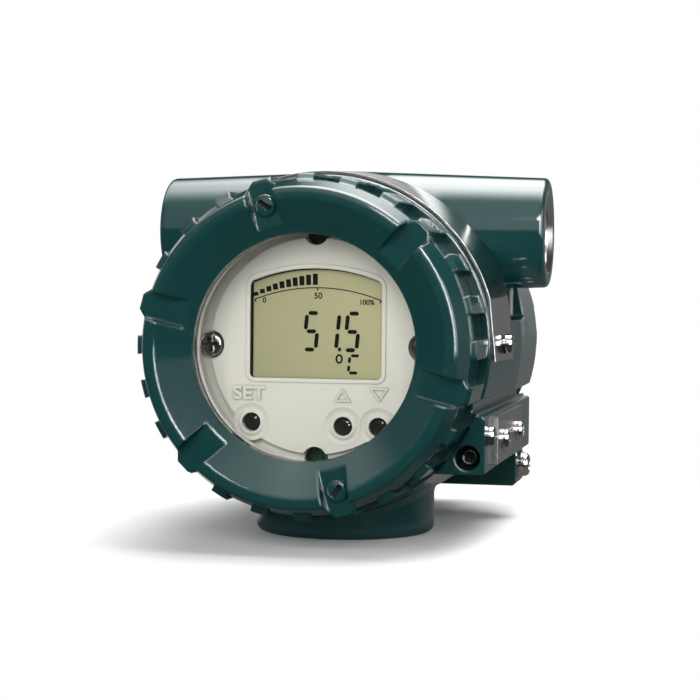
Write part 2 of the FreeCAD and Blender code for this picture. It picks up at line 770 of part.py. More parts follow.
# Rear cover: the same skirt closed by a dished blank.
rear_cover = turned_piece("rear_cover", skirt_corners("") + [
    (COVER_SHOULDER, "blank_recess_radius"),
    (f"{CREST} - blank_recess - blank_thickness", "blank_recess_radius"),
    (f"{CREST} - blank_recess - blank_thickness", "0"),
    (f"{CREST} - blank_recess", "0"),
    (f"{CREST} - blank_recess", "blank_recess_radius"),
])
finish_crest(rear_cover, "")
cut_skirt(rear_cover, f"-{COVER_MOUTH}", False)
cut_channels(rear_cover, f"-{CREST}", False)

# Cover seals: round rubber rings in the skirts' grooves.
for label, side in (("front_cover_seal", "-"), ("rear_cover_seal", "")):
    seal = new_body(label)
    section = new_sketch(seal, "section", "YZ_Plane")
    draw_circle(section, f"{side}({GROOVE_NEAR} + seal_groove_width / 2)",
                f"{GROOVE_FLOOR} - seal_clearance - seal_section_radius", "seal_section_radius")
    turned(seal, "Revolution", section)

# Window: toughened pane behind a flat gasket, held by a ring from inside.
turned_piece("glass_gasket", [
    (f"-{LIP_BACK}", "window_radius"),
    (f"-{LIP_BACK}", "pane_radius"),
    (f"-{PANE_FRONT}", "pane_radius"),
    (f"-{PANE_FRONT}", "window_radius"),
])
turned_piece("window_glass", [
    (f"-{PANE_FRONT}", "0"),
    (f"-{PANE_FRONT}", "pane_radius"),
    (f"-{PANE_BACK}", "pane_radius"),
    (f"-{PANE_BACK}", "0"),
])
turned_piece("glass_retainer", [
    (f"-{PANE_BACK}", "retainer_opening"),
    (f"-{PANE_BACK}", "pane_radius + pane_clearance"),
    (f"-{COVER_SHOULDER}", "pane_radius + pane_clearance"),
    (f"-{COVER_SHOULDER}", "retainer_radius"),
    (f"-({PANE_BACK} - retainer_thickness)", "retainer_radius"),
    (f"-({PANE_BACK} - retainer_thickness)", "retainer_opening"),
])

# Two slotted plugs stand in the cover's channels, one near the top and one opposite.
group("cover_slot_screws", [
    screw(f"slot_screw_{order}", "plug_head_radius", "plug_head_height", "plug_shank_radius",
          "plug_shank_length", (across, f"-({CREST} - channel_depth)", rise), "front")
    for order, (across, rise) in enumerate(PLUG_SPOTS, 1)])

# Display bezel: a moulded cup with a raised face, the screen's aperture and three button holes.
display_bezel = turned_piece("display_bezel", [
    ("-display_setting", "0"),
    ("-display_setting", "plateau_radius"),
    (f"-{BEZEL_FLANGE}", "plateau_radius"),
    (f"-{BEZEL_FLANGE}", "bezel_radius"),
    (f"-({BEZEL_FLANGE} - bezel_skirt_length)", "bezel_radius"),
    (f"-({BEZEL_FLANGE} - bezel_skirt_length)", "bezel_radius - bezel_wall"),
    (f"-{FLANGE_BACK}", "bezel_radius - bezel_wall"),
    (f"-{FLANGE_BACK}", "plateau_radius - bezel_wall"),
    (f"-{PANEL_FRONT}", "plateau_radius - bezel_wall"),
    (f"-{PANEL_FRONT}", "0"),
])
BUTTONS = {
    "button_set": ("-set_across", "-set_drop"),
    "button_up": ("up_across", "-arrow_drop"),
    "button_down": ("down_across", "-arrow_drop"),
}
FIXING_SPOTS = [("-fixing_circle", "0"), ("fixing_circle", "0")]


def draw_screen(drawn, border):
    """The screen's outline, flat on three sides and arched along the top."""
    low = f"-(screen_bottom + {border})"
    shoulder = f"(screen_shoulder + {border})"
    wide = f"(screen_half_width + {border})"
    rise = "(screen_top - screen_shoulder)"
    arch_radius = f"({wide} * {wide} + {rise} * {rise}) / (2 * {rise})"
    corners = [(f"-{wide}", shoulder), (f"-{wide}", low), (wide, low), (wide, shoulder)]
    lines = [draw_line(drawn, start, end) for start, end in zip(corners, corners[1:])]
    arch = drawn.addGeometry(Part.Arc(*[
        FreeCAD.Vector(number(across), number(along), 0)
        for across, along in (corners[-1], ("0", f"{shoulder} + {rise}"), corners[0])]), False)
    for line, corner in zip(lines, corners):
        pin(drawn, line, 1, *corner)
    pin(drawn, lines[-1], 2, *corners[-1])
    for line, following in zip(lines, lines[1:] + [arch]):
        drawn.addConstraint(Sketcher.Constraint("Coincident", line, 2, following, 1))
    drawn.addConstraint(Sketcher.Constraint("Coincident", arch, 2, lines[0], 1))
    index = drawn.addConstraint(Sketcher.Constraint("Radius", arch, number(arch_radius)))
    bind(drawn, f"Constraints[{index}]", arch_radius)


def screen_corner(edge):
    """A test for the four edges that run through the bezel at the screen's corners."""
    return any(all(same(abs(spot.x), "screen_half_width") and same(spot.z, level) for spot in places_on(edge))
               for level in ("screen_shoulder", "-screen_bottom"))


screen = new_sketch(display_bezel, "screen", "XZ_Plane", "display_setting")
draw_screen(screen, "0")
pocket(display_bezel, screen, "bezel_plate")
soften(display_bezel, "Fillet", "screen_corner", screen_corner)
bosses = new_sketch(display_bezel, "button_bosses", "XZ_Plane", PANEL_FRONT)
for across, rise in BUTTONS.values():
    draw_circle(bosses, across, rise, "button_boss_radius")
pad(display_bezel, bosses, f"{PANEL_FRONT} - {FLANGE_BACK}", True)
for name, place in BUTTONS.items():
    drill(display_bezel, f"{name}_dish", "XZ_Plane", "display_setting", [place],
          "button_dish_radius", "button_dish_depth")
drill(display_bezel, "button_holes", "XZ_Plane", "display_setting", list(BUTTONS.values()),
      "button_hole_radius", "plateau_height + bezel_plate")
drill(display_bezel, "sight_holes", "XZ_Plane", "display_setting",
      [("0", "sight_hole_circle"), ("0", "-sight_hole_circle")],
      "sight_hole_radius", "plateau_height + bezel_plate")
drill(display_bezel, "fixing_pockets", "XZ_Plane", "display_setting", FIXING_SPOTS,
      "fixing_pocket_radius", "plateau_height")
fixing_floor = new_sketch(display_bezel, "fixing_floor", "XZ_Plane", BEZEL_FLANGE)
for across, rise in FIXING_SPOTS:
    draw_circle(fixing_floor, across, rise, "fixing_pocket_radius")
pad(display_bezel, fixing_floor, "bezel_plate", True)
FIXING_HOLE = "fixing_shank_radius + screw_clearance"
drill(display_bezel, "fixing_holes", "XZ_Plane", BEZEL_FLANGE, FIXING_SPOTS, FIXING_HOLE, "bezel_plate")

# Screen: a liquid-crystal panel close behind the aperture, with its holder and the display board.
lcd_panel = new_body("lcd_panel")
panel = new_sketch(lcd_panel, "outline", "XZ_Plane", f"{PANEL_FRONT} - panel_clearance")
draw_screen(panel, "panel_border")
pad(lcd_panel, panel, "panel_thickness - panel_clearance", True)
lcd_holder = new_body("lcd_holder")
holder = new_sketch(lcd_holder, "outline", "XZ_Plane", f"{BOARD_FRONT} + holder_thickness")
draw_box(holder, "-screen_half_width", "-screen_bottom", "screen_half_width", "screen_shoulder")
pad(lcd_holder, holder, "holder_thickness", True)
display_board = turned_piece("display_board", [
    (f"-{BOARD_FRONT}", "0"),
    (f"-{BOARD_FRONT}", "bezel_radius - bezel_wall - board_clearance"),
    (f"-{BOARD_BACK}", "bezel_radius - bezel_wall - board_clearance"),
    (f"-{BOARD_BACK}", "0"),
])
pillar_notches = new_sketch(display_board, "pillar_notches", "XZ_Plane", BOARD_FRONT)
PILLAR_ROOM = "(pillar_radius + board_clearance)"
for side in ("-", ""):
    draw_box(pillar_notches, f"{side}(fixing_circle - {PILLAR_ROOM})", f"-{PILLAR_ROOM}",
             f"{side}bezel_radius", PILLAR_ROOM)
pocket(display_board, pillar_notches, "board_thickness")

# Push buttons: collared plungers that press the small switches on the board.
BUTTON_BACK = f"({BOARD_FRONT} + switch_height + button_travel + button_play)"
switches = []
for name, (across, rise) in BUTTONS.items():
    button = new_body(name)
    stem = new_sketch(button, "stem", "XZ_Plane", "display_setting - button_sink")
    draw_circle(stem, across, rise, "button_hole_radius - button_clearance")
    pad(button, stem, f"display_setting - button_sink - {BUTTON_BACK}", True)
    collar = new_sketch(button, "collar", "XZ_Plane", f"{FLANGE_BACK} - button_play")
    draw_circle(collar, across, rise, "button_hole_radius + button_collar")
    pad(button, collar, "button_collar_thickness", True)
    switch = new_body(f"{name}_switch", False)
    case = new_sketch(switch, "case", "XZ_Plane", f"{BOARD_FRONT} + switch_height")
    draw_box(case, f"{across} - switch_half_width", f"{rise} - switch_half_width",
             f"{across} + switch_half_width", f"{rise} + switch_half_width")
    pad(switch, case, "switch_height", True)
    switches.append(switch)
group("button_switches", switches)

# Display fixings: two captive screws into long pillars that stand on the partition.
group("display_screws", [
    screw(f"display_screw_{order}", "fixing_head_radius", "fixing_head_height", "fixing_shank_radius",
          "fixing_shank_length", (across, f"-{BEZEL_FLANGE}", rise), "front")
    for order, (across, rise) in enumerate(FIXING_SPOTS, 1)])
pillars = []
for order, (across, rise) in enumerate(FIXING_SPOTS, 1):
    pillar = new_body(f"display_pillar_{order}", False)
    rod = new_sketch(pillar, "rod", "XZ_Plane", FLANGE_BACK)
    draw_circle(rod, across, rise, "pillar_radius")
    pad(pillar, rod, f"{FLANGE_BACK} - partition_front", True)
    drill(pillar, "thread", "XZ_Plane", FLANGE_BACK, [(across, rise)], FIXING_HOLE,
          "fixing_shank_length - bezel_plate + screw_tip_clearance")
    pillars.append(pillar)
group("display_pillars", pillars)

# Amplifier: a potted case that stands on the partition between the pillars.
amplifier = new_body("amplifier_case")
block = new_sketch(amplifier, "outline", "XZ_Plane", "partition_front + amplifier_depth")
draw_box(block, "-amplifier_half_width", "-amplifier_half_height",
         "amplifier_half_width", "amplifier_half_height")
pad(amplifier, block, "amplifier_depth", True)
soften(amplifier, "Fillet", "amplifier_corner", lambda edge: (
    abs(edge.tangentAt(edge.FirstParameter).y) > 0.99))

# Feedthrough: the sealed bushing that takes the wires through the partition.
feedthrough = new_body("wire_feedthrough")
bushing = new_sketch(feedthrough, "bushing", "XZ_Plane", "partition_front")
draw_circle(bushing, "0", "-feedthrough_drop", "feedthrough_radius")
pad(feedthrough, bushing, "partition_thickness + feedthrough_reach", True)

# Terminal block: a moulded block on two posts, with a slot for each terminal.
TERMINALS = [f"terminal_pitch * {place}" for place in (-2, -1, 0, 1, 2)]
terminal_block = new_body("terminal_block")
moulding = new_sketch(terminal_block, "outline", "XZ_Plane", "-terminal_base")
draw_box(moulding, "-terminal_half_width", "-terminal_bottom", "terminal_half_width", "terminal_top")
pad(terminal_block, moulding, "terminal_depth", True)
slots = new_sketch(terminal_block, "slots", "XZ_Plane", f"-{TERMINAL_FACE}")
for across in TERMINALS:
    draw_box(slots, f"{across} - terminal_slot_half_width", "terminal_top - terminal_slot_length",
             f"{across} + terminal_slot_half_width", "terminal_top")
pocket(terminal_block, slots, "terminal_slot_depth", True)
TERMINAL_SPOTS = [(across, "terminal_top - terminal_slot_length / 2") for across in TERMINALS]
TERMINAL_SEAT = f"({TERMINAL_FACE} - terminal_slot_depth)"
drill(terminal_block, "terminal_holes", "XZ_Plane", f"-{TERMINAL_SEAT}", TERMINAL_SPOTS,
      "fixing_shank_radius + screw_clearance", "terminal_shank_length + screw_tip_clearance", True)
drill(terminal_block, "post_holes", "XZ_Plane", f"-{TERMINAL_FACE}", POST_SPOTS,
      "fixing_shank_radius + screw_clearance", "terminal_depth", True)
group("terminal_screws", [
    screw(f"terminal_screw_{order}", "fixing_head_radius", "fixing_head_height", "fixing_shank_radius",
          "terminal_shank_length", (across, TERMINAL_SEAT, rise), "rear")
    for order, (across, rise) in enumerate(TERMINAL_SPOTS, 1)])
group("terminal_block_screws", [
    screw(f"block_screw_{order}", "fixing_head_radius", "fixing_head_height", "fixing_shank_radius",
          "block_shank_length", (across, TERMINAL_FACE, rise), "rear")
    for order, (across, rise) in enumerate(POST_SPOTS, 1)])
screw("inner_earth_screw", "fixing_head_radius", "fixing_head_height", "fixing_shank_radius",
      "fixing_shank_length", ("-inner_earth_across", "inner_earth_height", "-inner_earth_drop"), "rear", True)

# Name band: a stainless strip bent over the barrel's top, its two flat ends screwed to the flanks.
name_band = new_body("name_band")


def draw_band(drawn, front):
    """The band's section: an arch with two flat ends that lie against the barrel."""
    inner = f"({barrel_radius(front)} + band_stand_off)"
    outer = f"({inner} + band_thickness)"
    ends = []
    for radius in (inner, outer):
        for side in ("-", ""):
            ends.append((f"{side}{radius} * cos(band_bend_angle)", f"{radius} * sin(band_bend_angle)"))
    tips = []
    for radius in (inner, outer):
        for side in ("-", ""):
            tips.append((f"{side}{radius} * cos(band_end_angle)", f"{radius} * sin(band_end_angle)"))
    arcs = []
    for radius, left, right in ((inner, ends[0], ends[1]), (outer, ends[2], ends[3])):
        arc = Part.Arc(*[FreeCAD.Vector(number(across), number(along), 0)
                         for across, along in (right, ("0", radius), left)])
        geometry = drawn.addGeometry(arc, False)
        drawn.addConstraint(Sketcher.Constraint("Coincident", geometry, 3, -1, 1))
        index = drawn.addConstraint(Sketcher.Constraint("Radius", geometry, number(radius)))
        bind(drawn, f"Constraints[{index}]", radius)
        arcs.append(geometry)
    for arc_end, side in ((2, 0), (1, 1)):
        inside = draw_line(drawn, ends[side], tips[side])
        tip = draw_line(drawn, tips[side], tips[side + 2])
        outside = draw_line(drawn, tips[side + 2], ends[side + 2])
        drawn.addConstraint(Sketcher.Constraint("Coincident", arcs[0], arc_end, inside, 1))
        drawn.addConstraint(Sketcher.Constraint("Coincident", inside, 2, tip, 1))
        drawn.addConstraint(Sketcher.Constraint("Coincident", tip, 2, outside, 1))
        drawn.addConstraint(Sketcher.Constraint("Coincident", outside, 2, arcs[1], arc_end))
        pin(drawn, tip, 1, *tips[side])
        pin(drawn, tip, 2, *tips[side + 2])
        for geometry, point, spot in ((inside, 1, ends[side]), (outside, 2, ends[side + 2])):
            index = drawn.addConstraint(
                Sketcher.Constraint("DistanceY", -1, 1, geometry, point, number(spot[1])))
            bind(drawn, f"Constraints[{index}]", spot[1])


sections = []
for name, front in (("front", "band_front"), ("rear", BAND_REAR)):
    section = new_sketch(name_band, name, "XZ_Plane", front)
    draw_band(section, front)
    sections.append(section)
strip = name_band.newObject("PartDesign::AdditiveLoft", "name_band_loft")
strip.Profile = sections[0]
strip.Sections = [sections[1]]
strip.Ruled = True
BAND_HOLE_DEPTH = "small_shank_length + small_head_height"
drill(name_band, "hole_right", "YZ_Plane", "barrel_middle_radius + small_head_height", BAND_SPOT, SMALL_HOLE,
      BAND_HOLE_DEPTH)
drill(name_band, "hole_left", "YZ_Plane", "-barrel_middle_radius - small_head_height", BAND_SPOT, SMALL_HOLE,
      BAND_HOLE_DEPTH, True)
TAB_MIDDLE = "((band_bend_angle + band_end_angle) / 2)"
TAB_HALF = "((band_bend_angle - band_end_angle) / 2)"
BAND_OUTER = f"({barrel_radius('band_screw_front')} + band_stand_off + band_thickness)"
BAND_SEAT = (f"({BAND_OUTER} * cos({TAB_HALF}) / cos({TAB_MIDDLE})"
             f" - band_screw_rise * tan({TAB_MIDDLE}) + band_screw_seat)")
group("band_screws", [
    screw(f"band_screw_{facing}", "small_head_radius", "small_head_height", "small_shank_radius",
          "small_shank_length", (f"{side}{BAND_SEAT}", "-band_screw_front", "band_screw_rise"), facing)
    for facing, side in (("right", ""), ("left", "-"))])

# Rail cover plate with its two screws.
side_plate = new_body("side_plate")
cover_plate = new_sketch(side_plate, "outline", "YZ_Plane", "rail_face")
draw_box(cover_plate, "plate_front", "-plate_bottom", "plate_front + plate_length", "-plate_top")
pad(side_plate, cover_plate, "plate_thickness")
drill(side_plate, "holes", "YZ_Plane", "rail_face + plate_thickness", PLATE_SPOTS, SMALL_HOLE, "plate_thickness")
SIDE_SCREWS = [(spot, "rail_face + plate_thickness") for spot in PLATE_SPOTS] + [(RAIL_SPOT, "rail_face")]
group("side_plate_screws", [
    screw(f"plate_screw_{order}", "small_head_radius", "small_head_height", "small_shank_radius",
          "small_shank_length", (seat, along, rise), "right")
    for order, ((along, rise), seat) in enumerate(SIDE_SCREWS, 1)])

# Outside earth terminal: a clamp washer under a pan-head screw.
EARTH_ALONG = "lug_front + lug_length / 2"
earth_washer = new_body("earth_washer")
washer = new_sketch(earth_washer, "outline", "YZ_Plane", "lug_face")
draw_circle(washer, EARTH_ALONG, "-earth_drop", "earth_washer_radius")
draw_circle(washer, EARTH_ALONG, "-earth_drop", "fixing_shank_radius + screw_clearance")
pad(earth_washer, washer, "earth_washer_thickness")
screw("earth_screw", "fixing_head_radius", "fixing_head_height", "fixing_shank_radius", "fixing_shank_length",
      ("lug_face + earth_washer_thickness", EARTH_ALONG, "-earth_drop"), "right", True)

# Cover lock screws: cap screws sunk in the two ends of the rail.
for side, sign, facing in (("front", "-", "front"), ("rear", "", "rear")):
    screw(f"{side}_lock_screw", "lock_head_radius", "lock_bore_depth - lock_recess", "lock_shank_radius",
          "lock_shank_length", ("lock_across", f"{sign}{LOCK_SEAT}", "-lock_drop"), facing, True)

doc.recompute()
for thing in doc.Objects:
    if "Invalid" in thing.State or "Error" in thing.State:
        raise RuntimeError(f"{thing.Label} failed: {thing.State}")
for piece in finished:
    if piece.Shape.isNull() or not piece.Shape.isValid():
        raise RuntimeError(f"{piece.Label} has no valid shape")

os.makedirs("parts", exist_ok=True)
for piece in finished:
    piece.Shape.exportStep(f"parts/{piece.Label}.step")
    print(piece.Label, len(piece.Shape.Solids), round(piece.Shape.Volume, 1))
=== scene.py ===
import json
import math
import bmesh
import bpy
from mathutils import Matrix, Quaternion, Vector


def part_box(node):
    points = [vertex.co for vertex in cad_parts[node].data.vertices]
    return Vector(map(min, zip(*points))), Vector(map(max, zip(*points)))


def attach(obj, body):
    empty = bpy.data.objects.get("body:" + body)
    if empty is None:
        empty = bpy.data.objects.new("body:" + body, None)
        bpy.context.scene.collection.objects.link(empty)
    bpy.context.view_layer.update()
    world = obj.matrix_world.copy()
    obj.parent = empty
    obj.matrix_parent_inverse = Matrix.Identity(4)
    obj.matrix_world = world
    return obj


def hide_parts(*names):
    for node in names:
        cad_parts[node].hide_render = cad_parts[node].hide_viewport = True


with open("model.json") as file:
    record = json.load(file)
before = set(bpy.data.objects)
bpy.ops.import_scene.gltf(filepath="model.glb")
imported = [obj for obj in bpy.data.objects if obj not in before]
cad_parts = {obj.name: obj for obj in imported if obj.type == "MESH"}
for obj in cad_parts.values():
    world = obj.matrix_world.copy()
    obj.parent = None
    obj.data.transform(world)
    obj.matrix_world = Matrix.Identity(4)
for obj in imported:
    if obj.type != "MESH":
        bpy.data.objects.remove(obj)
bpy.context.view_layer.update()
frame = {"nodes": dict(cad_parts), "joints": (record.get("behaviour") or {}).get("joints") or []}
nodes = frame["nodes"]

# Housing: one cast aluminium body with two conduit hubs, a mounting foot and a side rail.
# Teal gloss enamel covers it. The necks under the screw covers and the two conduit entries
# are machined after painting, so they stay bare metal.
MM = 0.001
BARREL_AXIS = Vector(next(joint["pos_m"] for joint in frame["joints"] if joint["name"] == "front_cover_turn"))
TEAL = (0.0045, 0.039, 0.0382, 1.0)
TEAL_DEEP = (0.0038, 0.034, 0.0332, 1.0)
ALUMINIUM = (0.60, 0.60, 0.58, 1.0)
NECK_START = 45.7 * MM
NECK_RADIUS = 39.2 * MM
COVER_LEAD = 2.0 * MM
HUB_RISE = 31.2 * MM
ENTRY_MOUTH_RADIUS = 11.5 * MM
ENTRY_START = 34.9 * MM
MACHINING_EDGE = 0.15 * MM
GRAIN_DETAIL = 3.0
CLOUD_SHARE = 0.06
NOISE_LOW, NOISE_HIGH = 0.3, 0.7
EDGE_SAMPLES = 6
PEEL_SCALE = 350.0
PEEL_STRENGTH = 0.05
PEEL_DEPTH = 0.03 * MM
ENAMEL_GLOSS = (0.07, 0.11)
ENAMEL_EDGE = 1.0 * MM
ENAMEL_IOR = 1.8
BARE_DULLING = 0.12
NECK_THREAD_HEIGHT = 90.0


def new_material(name):
    """A node material with its tree, its Principled shader and its Object coordinates."""
    made = bpy.data.materials.new(name)
    made.use_nodes = True
    tree = made.node_tree
    place = tree.nodes.new("ShaderNodeTexCoord").outputs["Object"]
    return made, tree, tree.nodes["Principled BSDF"], place


def add_node(tree, kind, links=(), **settings):
    """One node: keywords set its properties or free inputs, and links feed its inputs by name."""
    made = tree.nodes.new(kind)
    for name, value in settings.items():
        if hasattr(made, name):
            setattr(made, name, value)
        else:
            made.inputs[name.replace("_", " ")].default_value = value
    for name, source in links:
        tree.links.new(source, made.inputs[name])
    return made


def feed(tree, socket, value):
    """Link a node's output to an input, or set the input's own value."""
    if isinstance(value, bpy.types.NodeSocket):
        tree.links.new(value, socket)
    else:
        socket.default_value = value


def calculate(tree, operation, *values):
    """The result of one Math node."""
    made = add_node(tree, "ShaderNodeMath", operation=operation)
    for socket, value in zip(made.inputs, values):
        feed(tree, socket, value)
    return made.outputs[0]


def product(tree, first, *others):
    """Values or masks multiplied together."""
    for other in others:
        first = calculate(tree, "MULTIPLY", first, other)
    return first


def mix_colours(tree, factor, first, second):
    """Two colours mixed by a factor."""
    made = add_node(tree, "ShaderNodeMix", data_type="RGBA")
    for index, value in ((0, factor), (6, first), (7, second)):
        feed(tree, made.inputs[index], value)
    return made.outputs[2]


def spread(tree, value, low, high):
    """A noise value stretched to lie between two limits."""
    made = add_node(tree, "ShaderNodeMapRange", [("Value", value)],
                    From_Min=NOISE_LOW, From_Max=NOISE_HIGH, To_Min=low, To_Max=high)
    return made.outputs[0]


def new_group(name, inputs, outputs):
    """A shader node group with its named sockets, and its two inner ends."""
    group = bpy.data.node_groups.new(name, "ShaderNodeTree")
    for way, sockets in (("INPUT", inputs), ("OUTPUT", outputs)):
        for socket, kind in sockets:
            group.interface.new_socket(socket, in_out=way, socket_type=f"NodeSocket{kind}")
    return group, group.nodes.new("NodeGroupInput").outputs, group.nodes.new("NodeGroupOutput").inputs


def make_grain():
    """The node group of all finishes: fine grain, and the slow clouds in it."""
    group, given, result = new_group("surface_grain", (("Vector", "Vector"), ("Scale", "Float")),
                                     (("Fine", "Float"), ("Clouds", "Float")))
    slow = calculate(group, "MULTIPLY", given["Scale"], CLOUD_SHARE)
    for name, scale in (("Fine", given["Scale"]), ("Clouds", slow)):
        noise = add_node(group, "ShaderNodeTexNoise", [("Vector", given["Vector"]), ("Scale", scale)],
                         Detail=GRAIN_DETAIL)
        group.links.new(noise.outputs["Fac"], result[name])
    return group


def make_relief():
    """The node group of all surfaces: a bumped normal over edges rounded by a small radius."""
    group, given, result = new_group(
        "surface_relief", [(name, "Float") for name in ("Height", "Strength", "Depth", "Edge")],
        (("Normal", "Vector"),))
    rounded = add_node(group, "ShaderNodeBevel", [("Radius", given["Edge"])], samples=EDGE_SAMPLES)
    bumped = add_node(group, "ShaderNodeBump", [
        ("Height", given["Height"]), ("Strength", given["Strength"]), ("Distance", given["Depth"]),
        ("Normal", rounded.outputs[0])])
    group.links.new(bumped.outputs[0], result["Normal"])
    return group


GRAIN = make_grain()
RELIEF = make_relief()


def grain(tree, place, scale):
    """The grain group placed in a material, as its Fine and Clouds outputs."""
    made = add_node(tree, "ShaderNodeGroup", node_tree=GRAIN)
    feed(tree, made.inputs["Vector"], place)
    feed(tree, made.inputs["Scale"], scale)
    return made.outputs["Fine"], made.outputs["Clouds"]


def relief(tree, height, strength, depth, edge):
    """The relief group placed in a material, as its normal."""
    made = add_node(tree, "ShaderNodeGroup", node_tree=RELIEF)
    for name, value in (("Height", height), ("Strength", strength), ("Depth", depth), ("Edge", edge)):
        feed(tree, made.inputs[name], value)
    return made.outputs["Normal"]


def enamel(name, machined=None, edge=ENAMEL_EDGE):
    """Teal gloss enamel with a faint orange peel, bare where the machined zones say so."""
    made, tree, shader, place = new_material(name)
    peel, clouds = grain(tree, place, PEEL_SCALE)
    colour = mix_colours(tree, clouds, TEAL, TEAL_DEEP)
    gloss = spread(tree, peel, *ENAMEL_GLOSS)
    height = peel
    if machined:
        bare, threads = machined(tree, place)
        colour = mix_colours(tree, bare, colour, ALUMINIUM)
        gloss = calculate(tree, "MULTIPLY_ADD", bare, BARE_DULLING, gloss)
        height = calculate(tree, "MULTIPLY_ADD", threads, NECK_THREAD_HEIGHT, peel)
        feed(tree, shader.inputs["Metallic"], bare)
    feed(tree, shader.inputs["Base Color"], colour)
    feed(tree, shader.inputs["Roughness"], gloss)
    feed(tree, shader.inputs["Normal"], relief(tree, height, PEEL_STRENGTH, PEEL_DEPTH, edge))
    shader.inputs["IOR"].default_value = ENAMEL_IOR
    return made


def axis_distance(tree, first, second):
    """The distance from an axis, out of the two coordinates across it."""
    squares = calculate(tree, "MULTIPLY_ADD", first, first, calculate(tree, "MULTIPLY", second, second))
    return calculate(tree, "SQRT", squares)


def machined_zones(tree, place):
    """A mask of the bare necks and conduit entries, and the height of the necks' thread."""
    centred = add_node(tree, "ShaderNodeMapping", [("Vector", place)], Location=-BARREL_AXIS)
    across, along, up = add_node(tree, "ShaderNodeSeparateXYZ", [("Vector", centred.outputs[0])]).outputs
    neck = product(
        tree, calculate(tree, "GREATER_THAN", calculate(tree, "ABSOLUTE", along), NECK_START),
        calculate(tree, "LESS_THAN", axis_distance(tree, across, up), NECK_RADIUS + MACHINING_EDGE))
    entry_radius = axis_distance(tree, along, calculate(tree, "SUBTRACT", up, HUB_RISE))
    entry = product(
        tree, calculate(tree, "GREATER_THAN", calculate(tree, "ABSOLUTE", across), ENTRY_START),
        calculate(tree, "LESS_THAN", entry_radius, ENTRY_MOUTH_RADIUS + MACHINING_EDGE))
    turn = calculate(tree, "DIVIDE", calculate(tree, "ARCTAN2", up, across), 2 * math.pi)
    pitch = calculate(tree, "MULTIPLY_ADD", along, 1 / COVER_LEAD, turn)
    threads = product(tree, neck, calculate(tree, "PINGPONG", pitch, 0.5))
    return calculate(tree, "MAXIMUM", neck, entry), threads


def dress(finish, *names):
    """Give CAD pieces their finish."""
    for name in names:
        nodes[name].data.materials.clear()
        nodes[name].data.materials.append(finish)


dress(enamel("housing_enamel", machined_zones), "housing")

# Conduit threads: the taper threads cut in the two entries, bright from the tap, with painted shade that
# darkens their roots.
# Each is one ridge that winds inwards from the mouth.
HUB_END = 55.0 * MM
HUB_AXIS = BARREL_AXIS + Vector((0, 0, HUB_RISE))
THREAD_PITCH = 1.814 * MM
THREAD_TURNS = 9
THREAD_STEPS = 48
THREAD_ROOT = 9.62 * MM
THREAD_CREST = 8.75 * MM
THREAD_MOUTH = 1.7 * MM
THREAD_SECTION = ((0.0, THREAD_ROOT), (0.45, THREAD_CREST), (0.55, THREAD_CREST), (1.0, THREAD_ROOT))
ROOT_PAINTED_SHADE = (0.035, 0.035, 0.034, 1.0)
CREST_GREY = (0.44, 0.44, 0.43, 1.0)
CREST_SHARE = 0.15
SIDEWAYS = 0.99
TAPPED_SCALE = 900.0
TAPPED_GLOSS = (0.3, 0.4)
WELD = 0.001 * MM
FINE_WELD = 0.0005 * MM


def to_piece(name, shape, finish, body, replaced=(), smooth=40):
    """Make a finished shape a piece of the object that rides on a body."""
    bmesh.ops.remove_doubles(shape, verts=shape.verts, dist=FINE_WELD)
    mesh = bpy.data.meshes.new(name)
    shape.to_mesh(mesh)
    shape.free()
    mesh.shade_smooth()
    mesh.set_sharp_from_angle(angle=math.radians(smooth))
    mesh.materials.append(finish)
    piece = bpy.data.objects.new(name, mesh)
    bpy.context.scene.collection.objects.link(piece)
    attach(piece, body)
    if replaced:
        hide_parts(*replaced)
    return piece


tapped, tree, shader, place = new_material("tapped_aluminium")
centred = add_node(tree, "ShaderNodeMapping", [("Vector", place)], Location=-HUB_AXIS)
across, along, up = add_node(tree, "ShaderNodeSeparateXYZ", [("Vector", centred.outputs[0])]).outputs
# Painted shade: the colour darkens from the crests towards the thread roots.
painted_root_shade = add_node(tree, "ShaderNodeMapRange", [("Value", axis_distance(tree, along, up))],
                 From_Min=THREAD_CREST + CREST_SHARE * (THREAD_ROOT - THREAD_CREST), From_Max=THREAD_ROOT)
fine, clouds = grain(tree, place, TAPPED_SCALE)
feed(tree, shader.inputs["Base Color"], mix_colours(tree, painted_root_shade.outputs[0], CREST_GREY, ROOT_PAINTED_SHADE))
feed(tree, shader.inputs["Roughness"], spread(tree, fine, *TAPPED_GLOSS))
shader.inputs["Metallic"].default_value = 1.0
for side, sign in (("right", 1), ("left", -1)):
    shape = bmesh.new()
    mouth = HUB_END - THREAD_MOUTH
    ridge = []
    for depth, radius in THREAD_SECTION:
        spot = Vector((sign * (mouth - depth * THREAD_PITCH), 0, radius))
        ridge.append(shape.verts.new(HUB_AXIS + spot))
    edges = [shape.edges.new(pair) for pair in zip(ridge, ridge[1:])]
    bmesh.ops.spin(shape, geom=ridge + edges, cent=HUB_AXIS, axis=(sign, 0, 0),
                   dvec=(-sign * THREAD_PITCH / THREAD_STEPS, 0, 0),
                   angle=2 * math.pi * THREAD_TURNS, steps=THREAD_STEPS * THREAD_TURNS)
    bmesh.ops.remove_doubles(shape, verts=shape.verts, dist=WELD)
    bmesh.ops.recalc_face_normals(shape, faces=shape.faces)
    shape.faces.ensure_lookup_table()
    first = shape.faces[0]
    if first.normal.dot(first.calc_center_median() - HUB_AXIS) > 0 and abs(first.normal.x) < SIDEWAYS:
        bmesh.ops.reverse_faces(shape, faces=shape.faces)
    to_piece(f"conduit_thread_{side}", shape, tapped, "base")

